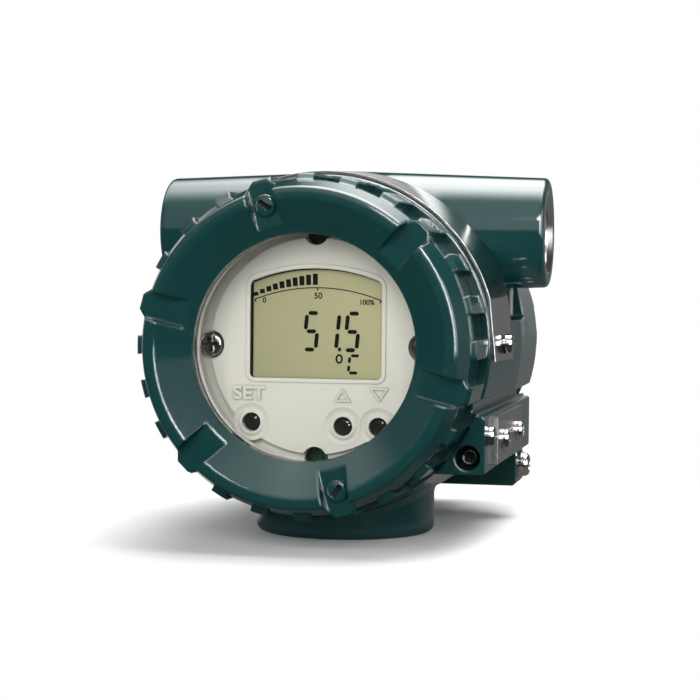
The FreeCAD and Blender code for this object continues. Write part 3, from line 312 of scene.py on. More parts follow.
# Name band: a plain strip of bright stainless steel bent over the barrel's crown, rolled along
# its length. Its two flat ends are held to the flanks by a pan-head screw each.
BRIGHT_STEEL = (0.66, 0.66, 0.65, 1.0)
GREY_STEEL = (0.55, 0.55, 0.54, 1.0)
BAND_GLOSS = (0.10, 0.17)
BAND_LINES = (0.04, 1.0, 0.04)
LINE_SCALE = 900.0
LINE_STRENGTH = 0.08
LINE_DEPTH = 0.01 * MM
METAL_EDGE = 0.25 * MM


def metal(name, light, dark, gloss, lines=(1.0, 1.0, 1.0), scale=LINE_SCALE, edge=METAL_EDGE):
    """A bare metal whose grain is drawn out into fine lines, with slightly uneven gloss."""
    made, tree, shader, place = new_material(name)
    drawn = add_node(tree, "ShaderNodeMapping", [("Vector", place)], Scale=lines)
    fine, clouds = grain(tree, drawn.outputs[0], scale)
    feed(tree, shader.inputs["Base Color"], mix_colours(tree, clouds, light, dark))
    feed(tree, shader.inputs["Roughness"], spread(tree, fine, *gloss))
    feed(tree, shader.inputs["Normal"], relief(tree, fine, LINE_STRENGTH, LINE_DEPTH, edge))
    shader.inputs["Metallic"].default_value = 1.0
    return made


dress(metal("band_steel", BRIGHT_STEEL, GREY_STEEL, BAND_GLOSS, BAND_LINES), "name_band")

SMALL_PAN = (2.75 * MM, 2.0 * MM, 1.4 * MM, 6.0 * MM)
SCREW_GLOSS = (0.06, 0.13)
SCREW_SCALE = 1500.0
# Painted shade for driver recesses: a near-black finish that stands in for the shade inside crosses, sockets
# and slots.
RECESS_SHADE_LIGHT = (0.05, 0.05, 0.05, 1.0)
RECESS_SHADE_DARK = (0.03, 0.03, 0.03, 1.0)
RECESS_SHADE_GLOSS = (0.5, 0.7)
BAND_SCREW_TURNS = {"right": 20, "left": 65}
SCREW_STEPS = 40
SCORE_LIMIT = 0.0001 * MM
CROSS_HALF_WIDTH = 0.15
CROSS_REACH = 0.56
CROSS_TAPER = 0.05
CROSS_DEPTH = 0.36
HEAD_SECTION = ((0.60, 1.0), (0.74, 0.95), (0.86, 0.84), (0.94, 0.66), (0.985, 0.44), (1.0, 0.2), (1.0, 0.0))
FACING = {
    "front": Matrix.Rotation(math.radians(90), 4, "X"),
    "rear": Matrix.Rotation(math.radians(-90), 4, "X"),
    "right": Matrix.Rotation(math.radians(90), 4, "Y"),
    "left": Matrix.Rotation(math.radians(-90), 4, "Y"),
}


def cut_recess(shape, top, planes, inside, taper, depth):
    """Sink a tapered driver recess in a head: planes score its outline, inside tells its cells."""
    cells = [top, *top.edges, *top.verts]
    for point, normal in planes:
        scored = bmesh.ops.bisect_plane(shape, geom=cells, dist=SCORE_LIMIT, plane_co=point, plane_no=normal)
        cells = scored["geom"]
    chosen = [cell for cell in cells
              if isinstance(cell, bmesh.types.BMFace) and inside(cell.calc_center_median())]
    bmesh.ops.inset_region(shape, faces=chosen, use_boundary=True, use_even_offset=True,
                           thickness=taper, depth=-depth)
    for face in chosen:
        # The recess takes the second finish, which paints shade into it.
        face.material_index = 1


def cross_recess(shape, top, radius, level):
    """A cross recess."""
    half_width = CROSS_HALF_WIDTH * radius
    reach = CROSS_REACH * radius
    planes = [(direction * sign * distance + Vector((0, 0, level)), direction)
              for direction in (Vector((1, 0, 0)), Vector((0, 1, 0)))
              for distance in (half_width, reach) for sign in (-1, 1)]

    def inside(centre):
        near, far = sorted((abs(centre.x), abs(centre.y)))
        return near < half_width and far < reach
    cut_recess(shape, top, planes, inside, CROSS_TAPER * radius, CROSS_DEPTH * radius)


def screw_shape(head_radius, head_height, shank_radius, shank_length, recess):
    """A screw with its head up, seated at the origin."""
    shape = bmesh.new()
    section = [(head_radius * wide, head_height * high) for wide, high in HEAD_SECTION]
    section += [(shank_radius, 0.0), (shank_radius, -shank_length)]
    outline = [shape.verts.new((radius, 0, height)) for radius, height in section]
    edges = [shape.edges.new(pair) for pair in zip(outline, outline[1:])]
    bmesh.ops.spin(shape, geom=outline + edges, cent=(0, 0, 0), axis=(0, 0, 1), angle=2 * math.pi,
                   steps=SCREW_STEPS, use_merge=True)
    for level in (head_height, -shank_length):
        rim = [edge for edge in shape.edges if all(abs(vert.co.z - level) < WELD for vert in edge.verts)]
        bmesh.ops.contextual_create(shape, geom=rim)
    bmesh.ops.recalc_face_normals(shape, faces=shape.faces)
    top = max(shape.faces, key=lambda face: face.calc_center_median().z)
    recess(shape, top, head_radius, head_height)
    return shape


def add_shape(whole, shape, matrix):
    """Put a small shape into a larger one at its place."""
    bmesh.ops.transform(shape, matrix=matrix, verts=shape.verts)
    carrier = bpy.data.meshes.new("carrier")
    shape.to_mesh(carrier)
    shape.free()
    whole.from_mesh(carrier)
    bpy.data.meshes.remove(carrier)


def screws(node, seats, facing, sizes, recess, finish, body="base"):
    """Like screws that stand for one CAD node, each at its seat and turned as it was left."""
    whole = bmesh.new()
    for seat, turn in seats:
        stand = Matrix.Translation(seat) @ FACING[facing] @ Matrix.Rotation(math.radians(turn), 4, "Z")
        add_shape(whole, screw_shape(*sizes, recess), stand)
    piece = to_piece(f"{node}_{facing}", whole, finish, body, (node,))
    # The second finish is the recesses' painted shade.
    piece.data.materials.append(recess_painted_shade)


screw_steel = metal("screw_steel", BRIGHT_STEEL, GREY_STEEL, SCREW_GLOSS, scale=SCREW_SCALE, edge=0.0)
recess_painted_shade = metal("recess_painted_shade", RECESS_SHADE_LIGHT, RECESS_SHADE_DARK, RECESS_SHADE_GLOSS, scale=SCREW_SCALE)
low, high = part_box("band_screws")
middle = (low + high) / 2
for facing, seat_x in (("right", high.x - SMALL_PAN[1]), ("left", low.x + SMALL_PAN[1])):
    seats = [(Vector((seat_x, middle.y, middle.z)), BAND_SCREW_TURNS[facing])]
    screws("band_screws", seats, facing, SMALL_PAN, cross_recess, screw_steel)

# Side rail fittings: a small steel cover plate on the rail, held by two pan-head screws,
# with a third screw in the rail's front end.
PLATE_LIGHT = (0.42, 0.42, 0.42, 1.0)
PLATE_DARK = (0.34, 0.34, 0.34, 1.0)
PLATE_GLOSS = (0.3, 0.4)
DRAWN_ALONG = (1.0, 0.05, 1.0)
PLATE_INSET = 10.6 * MM
PLATE_SCREW_TURNS = (35, 70, 10)
dress(metal("plate_steel", PLATE_LIGHT, PLATE_DARK, PLATE_GLOSS, DRAWN_ALONG), "side_plate")
low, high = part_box("side_plate_screws")
plate_low, plate_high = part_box("side_plate")
plate_drop = low.z + SMALL_PAN[0]
spots = (
    Vector((plate_high.x, plate_low.y + PLATE_INSET, plate_drop)),
    Vector((plate_high.x, plate_high.y - PLATE_INSET, plate_drop)),
    Vector((plate_low.x, low.y + SMALL_PAN[0], high.z - SMALL_PAN[0])),
)
seats = list(zip(spots, PLATE_SCREW_TURNS))
screws("side_plate_screws", seats, "right", SMALL_PAN, cross_recess, screw_steel)

# Cover locks: a blackened socket screw sunk in each end of the rail, which jams the cover's
# skirt when it is screwed out.
LOCK_SCREW = (2.9 * MM, 4.4 * MM, 2.0 * MM, 9.0 * MM)
LOCK_SCREW_TURN = 15
OXIDE_LIGHT = (0.26, 0.26, 0.265, 1.0)
OXIDE_DARK = (0.18, 0.18, 0.185, 1.0)
OXIDE_GLOSS = (0.2, 0.3)
OXIDE_SCALE = 1200.0
HEX_APOTHEM = 0.5
HEX_TAPER = 0.01
HEX_DEPTH = 0.8


def hex_socket(shape, top, radius, level):
    """A hexagon socket."""
    apothem = HEX_APOTHEM * radius
    angles = [step * math.pi / 3 for step in range(6)]
    directions = [Vector((math.cos(angle), math.sin(angle), 0)) for angle in angles]
    planes = [(direction * apothem + Vector((0, 0, level)), direction) for direction in directions]
    cut_recess(shape, top, planes, lambda centre: all(centre.dot(d) < apothem for d in directions),
               HEX_TAPER * radius, HEX_DEPTH * radius)


black_oxide = metal("black_oxide", OXIDE_LIGHT, OXIDE_DARK, OXIDE_GLOSS, scale=OXIDE_SCALE)
for facing in ("front", "rear"):
    node = f"{facing}_lock_screw"
    low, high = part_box(node)
    middle = (low + high) / 2
    seat_y = low.y + LOCK_SCREW[1] if facing == "front" else high.y - LOCK_SCREW[1]
    seats = [(Vector((middle.x, seat_y, middle.z)), LOCK_SCREW_TURN)]
    screws(node, seats, facing, LOCK_SCREW, hex_socket, black_oxide)

# Outside earth terminal: a clamp washer under a pan-head screw on the lug below the rail.
# Both are plain stainless.
LARGE_PAN = (3.5 * MM, 2.2 * MM, 1.9 * MM, 8.0 * MM)
EARTH_SCREW_TURN = 40
dress(screw_steel, "earth_washer")
low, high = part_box("earth_screw")
middle = (low + high) / 2
seats = [(Vector((high.x - LARGE_PAN[1], middle.y, middle.z)), EARTH_SCREW_TURN)]
screws("earth_screw", seats, "right", LARGE_PAN, cross_recess, screw_steel)

# Terminal side: a black moulded block on two posts with five terminals, a sealed bushing
# for the wires through the partition, and the inside earth screw.
BUSHING_LIGHT = (0.03, 0.03, 0.03, 1.0)
BUSHING_DARK = (0.02, 0.02, 0.02, 1.0)
BUSHING_GLOSS = (0.5, 0.6)
BLOCK_LIGHT = (0.028, 0.028, 0.03, 1.0)
BLOCK_DARK = (0.02, 0.02, 0.021, 1.0)
BLOCK_GLOSS = (0.35, 0.45)
BLOCK_PAN = LARGE_PAN[:3] + (22.0 * MM,)
TERMINAL_PAN = LARGE_PAN[:3] + (5.0 * MM,)
TERMINAL_TURN = 25
MOULD_SCALE = 1100.0
MOULD_EDGE = 0.3 * MM
MOULD_STRENGTH = 0.2
MOULD_DEPTH = 0.02 * MM


def moulded(name, light, dark, gloss, scale=MOULD_SCALE, edge=MOULD_EDGE,
            strength=MOULD_STRENGTH, sheen=0.5):
    """A moulded plastic or rubber with a fine spark-eroded grain."""
    made, tree, shader, place = new_material(name)
    fine, clouds = grain(tree, place, scale)
    feed(tree, shader.inputs["Base Color"], mix_colours(tree, clouds, light, dark))
    feed(tree, shader.inputs["Roughness"], spread(tree, fine, *gloss))
    feed(tree, shader.inputs["Normal"], relief(tree, fine, strength, MOULD_DEPTH, edge))
    shader.inputs["Specular IOR Level"].default_value = sheen
    return made


dress(moulded("bushing_rubber", BUSHING_LIGHT, BUSHING_DARK, BUSHING_GLOSS), "wire_feedthrough")
dress(moulded("terminal_plastic", BLOCK_LIGHT, BLOCK_DARK, BLOCK_GLOSS), "terminal_block")
for node, count, sizes in (("terminal_screws", 5, TERMINAL_PAN), ("terminal_block_screws", 2, BLOCK_PAN),
                           ("inner_earth_screw", 1, LARGE_PAN)):
    low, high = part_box(node)
    head = sizes[0]
    pitch = (high.x - low.x - 2 * head) / max(count - 1, 1)
    seats = [(Vector((low.x + head + pitch * order, high.y - sizes[1], high.z - head)), TERMINAL_TURN * order)
             for order in range(count)]
    screws(node, seats, "rear", sizes, cross_recess, screw_steel)

# Amplifier and pillars: a black potted case on the partition, between the two long
# stainless pillars that carry the display.
CASE_LIGHT = (0.03, 0.03, 0.032, 1.0)
CASE_DARK = (0.022, 0.022, 0.023, 1.0)
CASE_GLOSS = (0.4, 0.5)
PILLAR_GLOSS = (0.2, 0.3)
dress(moulded("potting_case", CASE_LIGHT, CASE_DARK, CASE_GLOSS), "amplifier_case")
dress(metal("pillar_steel", BRIGHT_STEEL, GREY_STEEL, PILLAR_GLOSS, DRAWN_ALONG), "display_pillars")

# Display board: a round green circuit board with three small switches under the buttons.
# Solder mask covers it, with the copper showing faintly through.
BOARD_GREEN = (0.006, 0.045, 0.020, 1.0)
BOARD_COPPER = (0.016, 0.075, 0.03, 1.0)
TRACK_SCALE = 160.0
TRACK_WIDTH = 0.03
MASK_SCALE = 1500.0
MASK_GLOSS = (0.22, 0.34)
MASK_STRENGTH = 0.1
MASK_DEPTH = 0.02 * MM
MASK_EDGE = 0.2 * MM
SWITCH_LIGHT = (0.030, 0.030, 0.031, 1.0)
SWITCH_DARK = (0.022, 0.022, 0.022, 1.0)
SWITCH_GLOSS = (0.3, 0.42)
made, tree, shader, place = new_material("solder_mask")
tracks = add_node(tree, "ShaderNodeTexBrick", [("Vector", place)],
                  Scale=TRACK_SCALE, Mortar_Size=TRACK_WIDTH)
for name in ("Color1", "Color2"):
    tracks.inputs[name].default_value = BOARD_GREEN
tracks.inputs["Mortar"].default_value = BOARD_COPPER
fine, clouds = grain(tree, place, MASK_SCALE)
feed(tree, shader.inputs["Base Color"], tracks.outputs["Color"])
feed(tree, shader.inputs["Roughness"], spread(tree, fine, *MASK_GLOSS))
feed(tree, shader.inputs["Normal"], relief(tree, fine, MASK_STRENGTH, MASK_DEPTH, MASK_EDGE))
dress(made, "display_board")
black_plastic = moulded("black_plastic", SWITCH_LIGHT, SWITCH_DARK, SWITCH_GLOSS)
dress(black_plastic, "button_switches", "lcd_holder")

# Screen: a reflective liquid-crystal panel, grey-green, with painted shade that darkens it towards the left.
# Its picture stands in front as thin black shapes: a bar scale, a reading and its unit, and black lines of
# painted shade along the screen's top and left edges.
LCD_LIGHT = (0.385, 0.370, 0.205, 1.0)
LCD_DARK = (0.305, 0.298, 0.168, 1.0)
LCD_SCALE = 1500.0
LCD_CLOUDING = 0.25
LCD_GLOSS = (0.3, 0.4)
LCD_SHEEN = 0.15
made, tree, shader, place = new_material("lcd_glass")
low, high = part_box("lcd_panel")
across = add_node(tree, "ShaderNodeSeparateXYZ", [("Vector", place)]).outputs["X"]
# Painted shade: the colour darkens from right to left across the panel.
painted_left_shade = add_node(tree, "ShaderNodeMapRange", [("Value", across)], From_Min=low.x, From_Max=high.x)
fine, clouds = grain(tree, place, LCD_SCALE)
uneven = calculate(tree, "MULTIPLY_ADD", clouds, LCD_CLOUDING, painted_left_shade.outputs[0])
feed(tree, shader.inputs["Base Color"], mix_colours(tree, uneven, LCD_DARK, LCD_LIGHT))
feed(tree, shader.inputs["Roughness"], spread(tree, fine, *LCD_GLOSS))
shader.inputs["Specular IOR Level"].default_value = LCD_SHEEN
dress(made, "lcd_panel")

INK_LIGHT = (0.007, 0.007, 0.006, 1.0)
INK_DARK = (0.005, 0.005, 0.004, 1.0)
INK_GLOSS = (0.5, 0.6)
INK_SHEEN = 0.05
INK_THICKNESS = 0.04 * MM
ARC_PARTS = 40
ARC_OVERLAP = 1.02
SCALE_RADIUS = 46.8 * MM
SCALE_TOP = 15.25 * MM
SCALE_LINE = 0.28 * MM
SCALE_HALF_ANGLE = math.asin(17.0 / 46.8)
TICK_DROP = 0.35 * MM
TICK_LENGTH = 0.75 * MM
TICK_WIDTH = 0.35 * MM
BAR_COUNT = 10
BAR_PITCH = 1.74 * MM
BAR_WIDTH = 1.34 * MM
BAR_LEFT = -16.3 * MM
BAR_GAP = 0.75 * MM
BAR_FIRST = 0.95 * MM
BAR_GROWTH = 0.22 * MM
BAR_LEAN = 0.5
DIGIT_SIZE = (3.2 * MM, 9.6 * MM, 1.06 * MM)
DIGIT_LEAN = 0.096
DIGIT_RISE = 3.8 * MM
READING = (("5", -1.61 * MM), ("1", 3.88 * MM), ("5", 9.37 * MM))
POINT_PLACE = (6.0 * MM, -0.85 * MM)
POINT_SIZE = (0.85 * MM, 1.0 * MM)
POINT_CORNER = 0.2 * MM
UNIT_PLACE = (9.95 * MM, -4.7 * MM)
UNIT_SIZE = (2.7 * MM, 4.5 * MM, 0.78 * MM)
DEGREE_PLACE = (5.92 * MM, -3.35 * MM, 0.0)
DEGREE_SIZE = (1.0 * MM, 1.3 * MM)
DEGREE_STROKE = 0.5 * MM
DEGREE_STEPS = 24
CELL_CORNER = 0.36
CELL_GAP_UPRIGHT = 0.85
CELL_GAP_LEVEL = 0.65
SCALE_WORDS = (("0", -14.4 * MM, 11.9 * MM, 1.35 * MM), ("50", 0.15 * MM, 13.2 * MM, 1.55 * MM),
               ("100%", 13.2 * MM, 11.6 * MM, 1.3 * MM))
WORD_BOLDNESS = 0.05 * MM
CAPITAL_SHARE = 0.69
WORD_EDGE_STEPS = 3
SCREEN_HALF_WIDTH = 17.6 * MM
SCREEN_SHOULDER = 16.7 * MM
SCREEN_TOP = 20.3 * MM
SCREEN_BOTTOM = 8.5 * MM
# Painted shade: black lines along the screen's top and left edges, where the opening's walls throw shade.
PAINTED_SHADE_LINE = 0.6 * MM
PAINTED_SHADE_RADIUS = 44.8 * MM
PAINTED_SHADE_HALF_ANGLE = math.asin(17.4 / 44.8)
LIT_BARS = {"5": "afgcd", "1": "bc", "C": "afed"}


def arc_point(top, radius, angle, beyond=0.0):
    """A point in the picture's plane, on an arc with a given crown or beyond it."""
    centre = Vector((0, top - radius, 0))
    return (centre + (radius + beyond) * Vector((math.sin(angle), math.cos(angle), 0))).xy


def flat_bar(shape, centre, length, width, turn, corner=0.0):
    """A flat bar in the picture's plane, with its corners clipped."""
    place = (Matrix.Translation(Vector((*centre, 0))) @ Matrix.Rotation(turn, 4, "Z")
             @ Matrix.Diagonal((length, width, 1, 1)))
    made = bmesh.ops.create_grid(shape, x_segments=1, y_segments=1, size=0.5, matrix=place)["verts"]
    if corner:
        bmesh.ops.bevel(shape, geom=made, offset=corner, offset_type="OFFSET", affect="VERTICES", segments=1,
                        profile=0.5, material=-1)


def arc_line(shape, top, radius, half_angle, line):
    """A line along an arc, out of short flat bars."""
    step = radius * 2 * half_angle / ARC_PARTS
    for part in range(ARC_PARTS):
        angle = half_angle * (2 * (part + 0.5) / ARC_PARTS - 1)
        flat_bar(shape, arc_point(top, radius, angle), step * ARC_OVERLAP, line, -angle)


def lit_sign(shape, sign, centre, size):
    """One sign of the reading, drawn with the lit bars of a seven-bar cell."""
    width, height, stroke = size
    half, quarter = width / 2, height / 4
    tall = height / 2 - stroke * CELL_GAP_UPRIGHT
    wide = width - stroke * CELL_GAP_LEVEL
    upright = math.pi / 2 - math.atan(DIGIT_LEAN)
    bars = {
        "a": ((0, 2 * quarter), wide, 0), "g": ((0, 0), wide, 0), "d": ((0, -2 * quarter), wide, 0),
        "f": ((-half, quarter), tall, upright), "b": ((half, quarter), tall, upright),
        "e": ((-half, -quarter), tall, upright), "c": ((half, -quarter), tall, upright),
    }
    for bar in LIT_BARS[sign]:
        (along, up), length, turn = bars[bar]
        spot = (centre[0] + along + DIGIT_LEAN * up, centre[1] + up)
        flat_bar(shape, spot, length, stroke, turn, CELL_CORNER * stroke)


def raise_flat(shape, thickness):
    """Give flat faces a thickness towards their front."""
    raised = bmesh.ops.extrude_face_region(shape, geom=shape.faces[:], use_keep_orig=True)["geom"]
    bmesh.ops.translate(shape, vec=(0, 0, thickness),
                        verts=[part for part in raised if isinstance(part, bmesh.types.BMVert)])
    bmesh.ops.recalc_face_normals(shape, faces=shape.faces)


def words_shape(words, height, boldness, thickness=0.0):
    """Words as a shape that stands in the picture's plane, centred at the origin."""
    lettering = bpy.data.curves.new("lettering", "FONT")
    lettering.body = words
    lettering.size = height / CAPITAL_SHARE
    lettering.align_x = "CENTER"
    if thickness:
        lettering.bevel_depth = boldness
        lettering.bevel_resolution = WORD_EDGE_STEPS
        lettering.extrude = thickness / 2 - boldness
    else:
        lettering.offset = boldness
    holder = bpy.data.objects.new("lettering", lettering)
    bpy.context.scene.collection.objects.link(holder)
    drawn = holder.evaluated_get(bpy.context.evaluated_depsgraph_get())
    mesh = bpy.data.meshes.new_from_object(drawn)
    shape = bmesh.new()
    shape.from_mesh(mesh)
    bmesh.ops.translate(shape, verts=shape.verts, vec=(0, -height / 2, 0))
    if thickness:
        bmesh.ops.remove_doubles(shape, verts=shape.verts, dist=WELD)
        bmesh.ops.recalc_face_normals(shape, faces=shape.faces)
    bpy.data.objects.remove(holder)
    bpy.data.curves.remove(lettering)
    bpy.data.meshes.remove(mesh)
    return shape


picture = bmesh.new()
arc_line(picture, SCALE_TOP, SCALE_RADIUS, SCALE_HALF_ANGLE, SCALE_LINE)
for angle in (-SCALE_HALF_ANGLE, 0.0, SCALE_HALF_ANGLE):
    spot = arc_point(SCALE_TOP, SCALE_RADIUS, angle, -TICK_DROP)
    flat_bar(picture, spot, TICK_LENGTH, TICK_WIDTH, math.pi / 2 - angle)
# Painted shade: black lines along the top and left edges of the screen.
arc_line(picture, SCREEN_TOP, PAINTED_SHADE_RADIUS, PAINTED_SHADE_HALF_ANGLE, PAINTED_SHADE_LINE)
flat_bar(picture, (-SCREEN_HALF_WIDTH, (SCREEN_SHOULDER - SCREEN_BOTTOM) / 2), PAINTED_SHADE_LINE,
         SCREEN_SHOULDER + SCREEN_BOTTOM, 0.0)
for bar in range(BAR_COUNT):
    tall = BAR_FIRST + BAR_GROWTH * bar
    angle = math.asin((BAR_LEFT + BAR_PITCH * bar) / SCALE_RADIUS)
    spot = arc_point(SCALE_TOP, SCALE_RADIUS, angle, BAR_GAP + tall / 2)
    flat_bar(picture, spot, tall, BAR_WIDTH, math.pi / 2 - angle * BAR_LEAN)
for sign, centre in READING:
    lit_sign(picture, sign, (centre, DIGIT_RISE), DIGIT_SIZE)
flat_bar(picture, POINT_PLACE, *POINT_SIZE, 0.0, POINT_CORNER)
lit_sign(picture, "C", UNIT_PLACE, UNIT_SIZE)
ring = bmesh.ops.create_circle(picture, cap_ends=True, segments=DEGREE_STEPS, radius=1.0)["verts"]
ring_stand = Matrix.Translation(DEGREE_PLACE) @ Matrix.Diagonal((*DEGREE_SIZE, 1, 1))
bmesh.ops.transform(picture, verts=ring, matrix=ring_stand)
disc = next(face for face in picture.faces if len(face.verts) == DEGREE_STEPS)
bmesh.ops.inset_region(picture, faces=[disc], thickness=DEGREE_STROKE, use_even_offset=True,
                       use_boundary=True)
bmesh.ops.delete(picture, geom=[disc], context="FACES_ONLY")
for words, across, up, tall in SCALE_WORDS:
    add_shape(picture, words_shape(words, tall, WORD_BOLDNESS), Matrix.Translation((across, up, 0)))
bmesh.ops.remove_doubles(picture, verts=picture.verts, dist=FINE_WELD)
raise_flat(picture, INK_THICKNESS)
low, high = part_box("lcd_panel")
screen_stand = Matrix.Translation((BARREL_AXIS.x, low.y, BARREL_AXIS.z)) @ FACING["front"]
bmesh.ops.transform(picture, matrix=screen_stand, verts=picture.verts)
lcd_ink = moulded("lcd_ink", INK_LIGHT, INK_DARK, INK_GLOSS, edge=0.0, sheen=INK_SHEEN)
to_piece("lcd_picture", picture, lcd_ink, "base")

# Display bezel: a warm light-grey moulded cup, with painted shade: black on the walls of its screen opening
# and darker in its hollows.
# The names of the three buttons are raised in the moulding: a word and two triangles.
BEZEL_LIGHT = (0.61, 0.60, 0.53, 1.0)
BEZEL_DARK = (0.57, 0.56, 0.49, 1.0)
BEZEL_SCALE = 1000.0
BEZEL_GLOSS = (0.42, 0.52)
BEZEL_STRENGTH = 0.05
BEZEL_DEPTH = 0.02 * MM
BEZEL_SHEEN = 0.2
BEZEL_EDGE = 0.35 * MM
RAISED_EDGE = 0.06 * MM
# Painted shade: black on the walls of the screen opening, and a darker colour in the hollows.
OPENING_SHADE_BLACK = (0.012, 0.012, 0.012, 1.0)
OPENING_SHADE_MARGIN = 0.1 * MM
OPENING_SHADE_START = 0.02 * MM
PAINTED_HOLLOW_REACH = 0.8 * MM
PAINTED_HOLLOW_SHADE = 0.35
PAINTED_HOLLOW_SAMPLES = 8
PAINTED_HOLLOW_BLACK = (0.0, 0.0, 0.0, 1.0)
bezel_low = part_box("display_bezel")[0]


def bezel_plastic(name, shaded_opening, edge):
    """The bezel's plastic, with painted shade: darker in its hollows, and black on the walls of the screen
    opening.
    """
    made, tree, shader, place = new_material(name)
    fine, clouds = grain(tree, place, BEZEL_SCALE)
    colour = mix_colours(tree, clouds, BEZEL_LIGHT, BEZEL_DARK)
    # Painted shade: the walls of the screen opening are coloured black.
    if shaded_opening:
        centred = add_node(tree, "ShaderNodeMapping", [("Vector", place)],
                           Location=(-BARREL_AXIS.x, -bezel_low.y, -BARREL_AXIS.z))
        across, depth, up = add_node(tree, "ShaderNodeSeparateXYZ", [("Vector", centred.outputs[0])]).outputs
        limits = (
            ("LESS_THAN", calculate(tree, "ABSOLUTE", across), SCREEN_HALF_WIDTH + OPENING_SHADE_MARGIN),
            ("LESS_THAN", up, SCREEN_TOP + OPENING_SHADE_MARGIN),
            ("GREATER_THAN", up, -SCREEN_BOTTOM - OPENING_SHADE_MARGIN),
            ("GREATER_THAN", depth, OPENING_SHADE_START),
        )
        opening_shade = product(tree, *[calculate(tree, *limit) for limit in limits])
        colour = mix_colours(tree, opening_shade, colour, OPENING_SHADE_BLACK)
    # Painted shade: ambient occlusion darkens the colour in hollows, beside the raised marks and in the
    # button dishes.
    painted_hollow = add_node(tree, "ShaderNodeAmbientOcclusion", samples=PAINTED_HOLLOW_SAMPLES, Distance=PAINTED_HOLLOW_REACH)
    painted_lit_share = calculate(tree, "MULTIPLY_ADD", painted_hollow.outputs["AO"], 1 - PAINTED_HOLLOW_SHADE, PAINTED_HOLLOW_SHADE)
    colour = mix_colours(tree, painted_lit_share, PAINTED_HOLLOW_BLACK, colour)
    feed(tree, shader.inputs["Base Color"], colour)
    feed(tree, shader.inputs["Roughness"], spread(tree, fine, *BEZEL_GLOSS))
    feed(tree, shader.inputs["Normal"], relief(tree, fine, BEZEL_STRENGTH, BEZEL_DEPTH, edge))
    shader.inputs["Specular IOR Level"].default_value = BEZEL_SHEEN
    return made


dress(bezel_plastic("bezel_plastic", True, BEZEL_EDGE), "display_bezel")
raised_plastic = bezel_plastic("bezel_raised", False, RAISED_EDGE)
MARK_HEIGHT = 0.5 * MM
MARK_STROKE = 0.42 * MM
MARK_DROP = -12.6 * MM
SET_PLACE = -17.8 * MM
SET_HEIGHT = 3.3 * MM
SET_BOLDNESS = 0.22 * MM
SET_STRETCH = 1.18
TRIANGLE_SHIFT = 0.7 * MM
UP_PLACE = 7.4 * MM
UP_SIZE = (4.4 * MM, 3.4 * MM)
DOWN_PLACE = 17.2 * MM
DOWN_SIZE = (5.0 * MM, 3.6 * MM)
face_stand = Matrix.Translation((BARREL_AXIS.x, bezel_low.y, BARREL_AXIS.z)) @ FACING["front"]


def triangle_shape(wide, tall, points_up):
    """A raised triangle drawn as an outline."""
    shape = bmesh.new()
    bmesh.ops.create_circle(shape, cap_ends=True, segments=3, radius=1.0)
    upright = 1 if points_up else -1
    stretch = Matrix.Diagonal((wide / math.sqrt(3), upright * tall / 1.5, 1, 1))
    bmesh.ops.transform(shape, matrix=stretch, verts=shape.verts)
    inner = shape.faces[:]
    bmesh.ops.inset_region(shape, faces=inner, thickness=MARK_STROKE, use_even_offset=True, use_boundary=True)
    bmesh.ops.delete(shape, geom=inner, context="FACES_ONLY")
    raise_flat(shape, MARK_HEIGHT)
    return shape


RIM_WIDTH = 1.2 * MM
RIM_HEIGHT = 0.3 * MM
RIM_CORNER = 2.4 * MM
RIM_CORNER_STEPS = 6
ARCH_PARTS = 24
CREST_ANGLE = 1.0
CREST_ROUNDING = 0.95 * RIM_HEIGHT
CREST_STEPS = 4
rim = bmesh.new()
rim_wide = SCREEN_HALF_WIDTH + RIM_WIDTH
rim_low = -SCREEN_BOTTOM - RIM_WIDTH
rim_shoulder = SCREEN_SHOULDER + RIM_WIDTH
bmesh.ops.create_grid(rim, x_segments=1, y_segments=1, size=1.0, matrix=(
    Matrix.Translation((0, (rim_low + rim_shoulder) / 2, 0))
    @ Matrix.Diagonal((rim_wide, (rim_shoulder - rim_low) / 2, 1, 1))))
bmesh.ops.bevel(rim, geom=rim.verts[:], offset=RIM_CORNER, offset_type="OFFSET", affect="VERTICES",
                segments=RIM_CORNER_STEPS, profile=0.5, material=-1)
crown_edge = max(rim.edges, key=lambda edge: (edge.verts[0].co + edge.verts[1].co).y)
bmesh.ops.subdivide_edges(rim, edges=[crown_edge], cuts=ARCH_PARTS)
for vert in rim.verts:
    if vert.co.y > 0:
        vert.co.y += (SCREEN_TOP - SCREEN_SHOULDER) * (1 - (vert.co.x / rim_wide) ** 2)
opening = rim.faces[:]
bmesh.ops.inset_region(rim, faces=opening, thickness=RIM_WIDTH, use_even_offset=True, use_boundary=True)
bmesh.ops.delete(rim, geom=opening, context="FACES_ONLY")
raise_flat(rim, RIM_HEIGHT)
crests = [edge for edge in rim.edges if all(vert.co.z > RIM_HEIGHT / 2 for vert in edge.verts)
          and abs(edge.calc_face_angle(0.0)) > CREST_ANGLE]
bmesh.ops.bevel(rim, geom=crests, offset=CREST_ROUNDING, offset_type="OFFSET", affect="EDGES",
                segments=CREST_STEPS, profile=0.5, material=-1, clamp_overlap=True)
bmesh.ops.transform(rim, matrix=face_stand, verts=rim.verts)
to_piece("screen_rim", rim, raised_plastic, "base")
marks = bmesh.new()
set_stand = (Matrix.Translation((SET_PLACE, MARK_DROP, MARK_HEIGHT / 2))
             @ Matrix.Diagonal((SET_STRETCH, 1, 1, 1)))
add_shape(marks, words_shape("SET", SET_HEIGHT, SET_BOLDNESS, MARK_HEIGHT), set_stand)
add_shape(marks, triangle_shape(*UP_SIZE, True),
          Matrix.Translation((UP_PLACE, MARK_DROP - TRIANGLE_SHIFT, 0)))
add_shape(marks, triangle_shape(*DOWN_SIZE, False),
          Matrix.Translation((DOWN_PLACE, MARK_DROP + TRIANGLE_SHIFT, 0)))
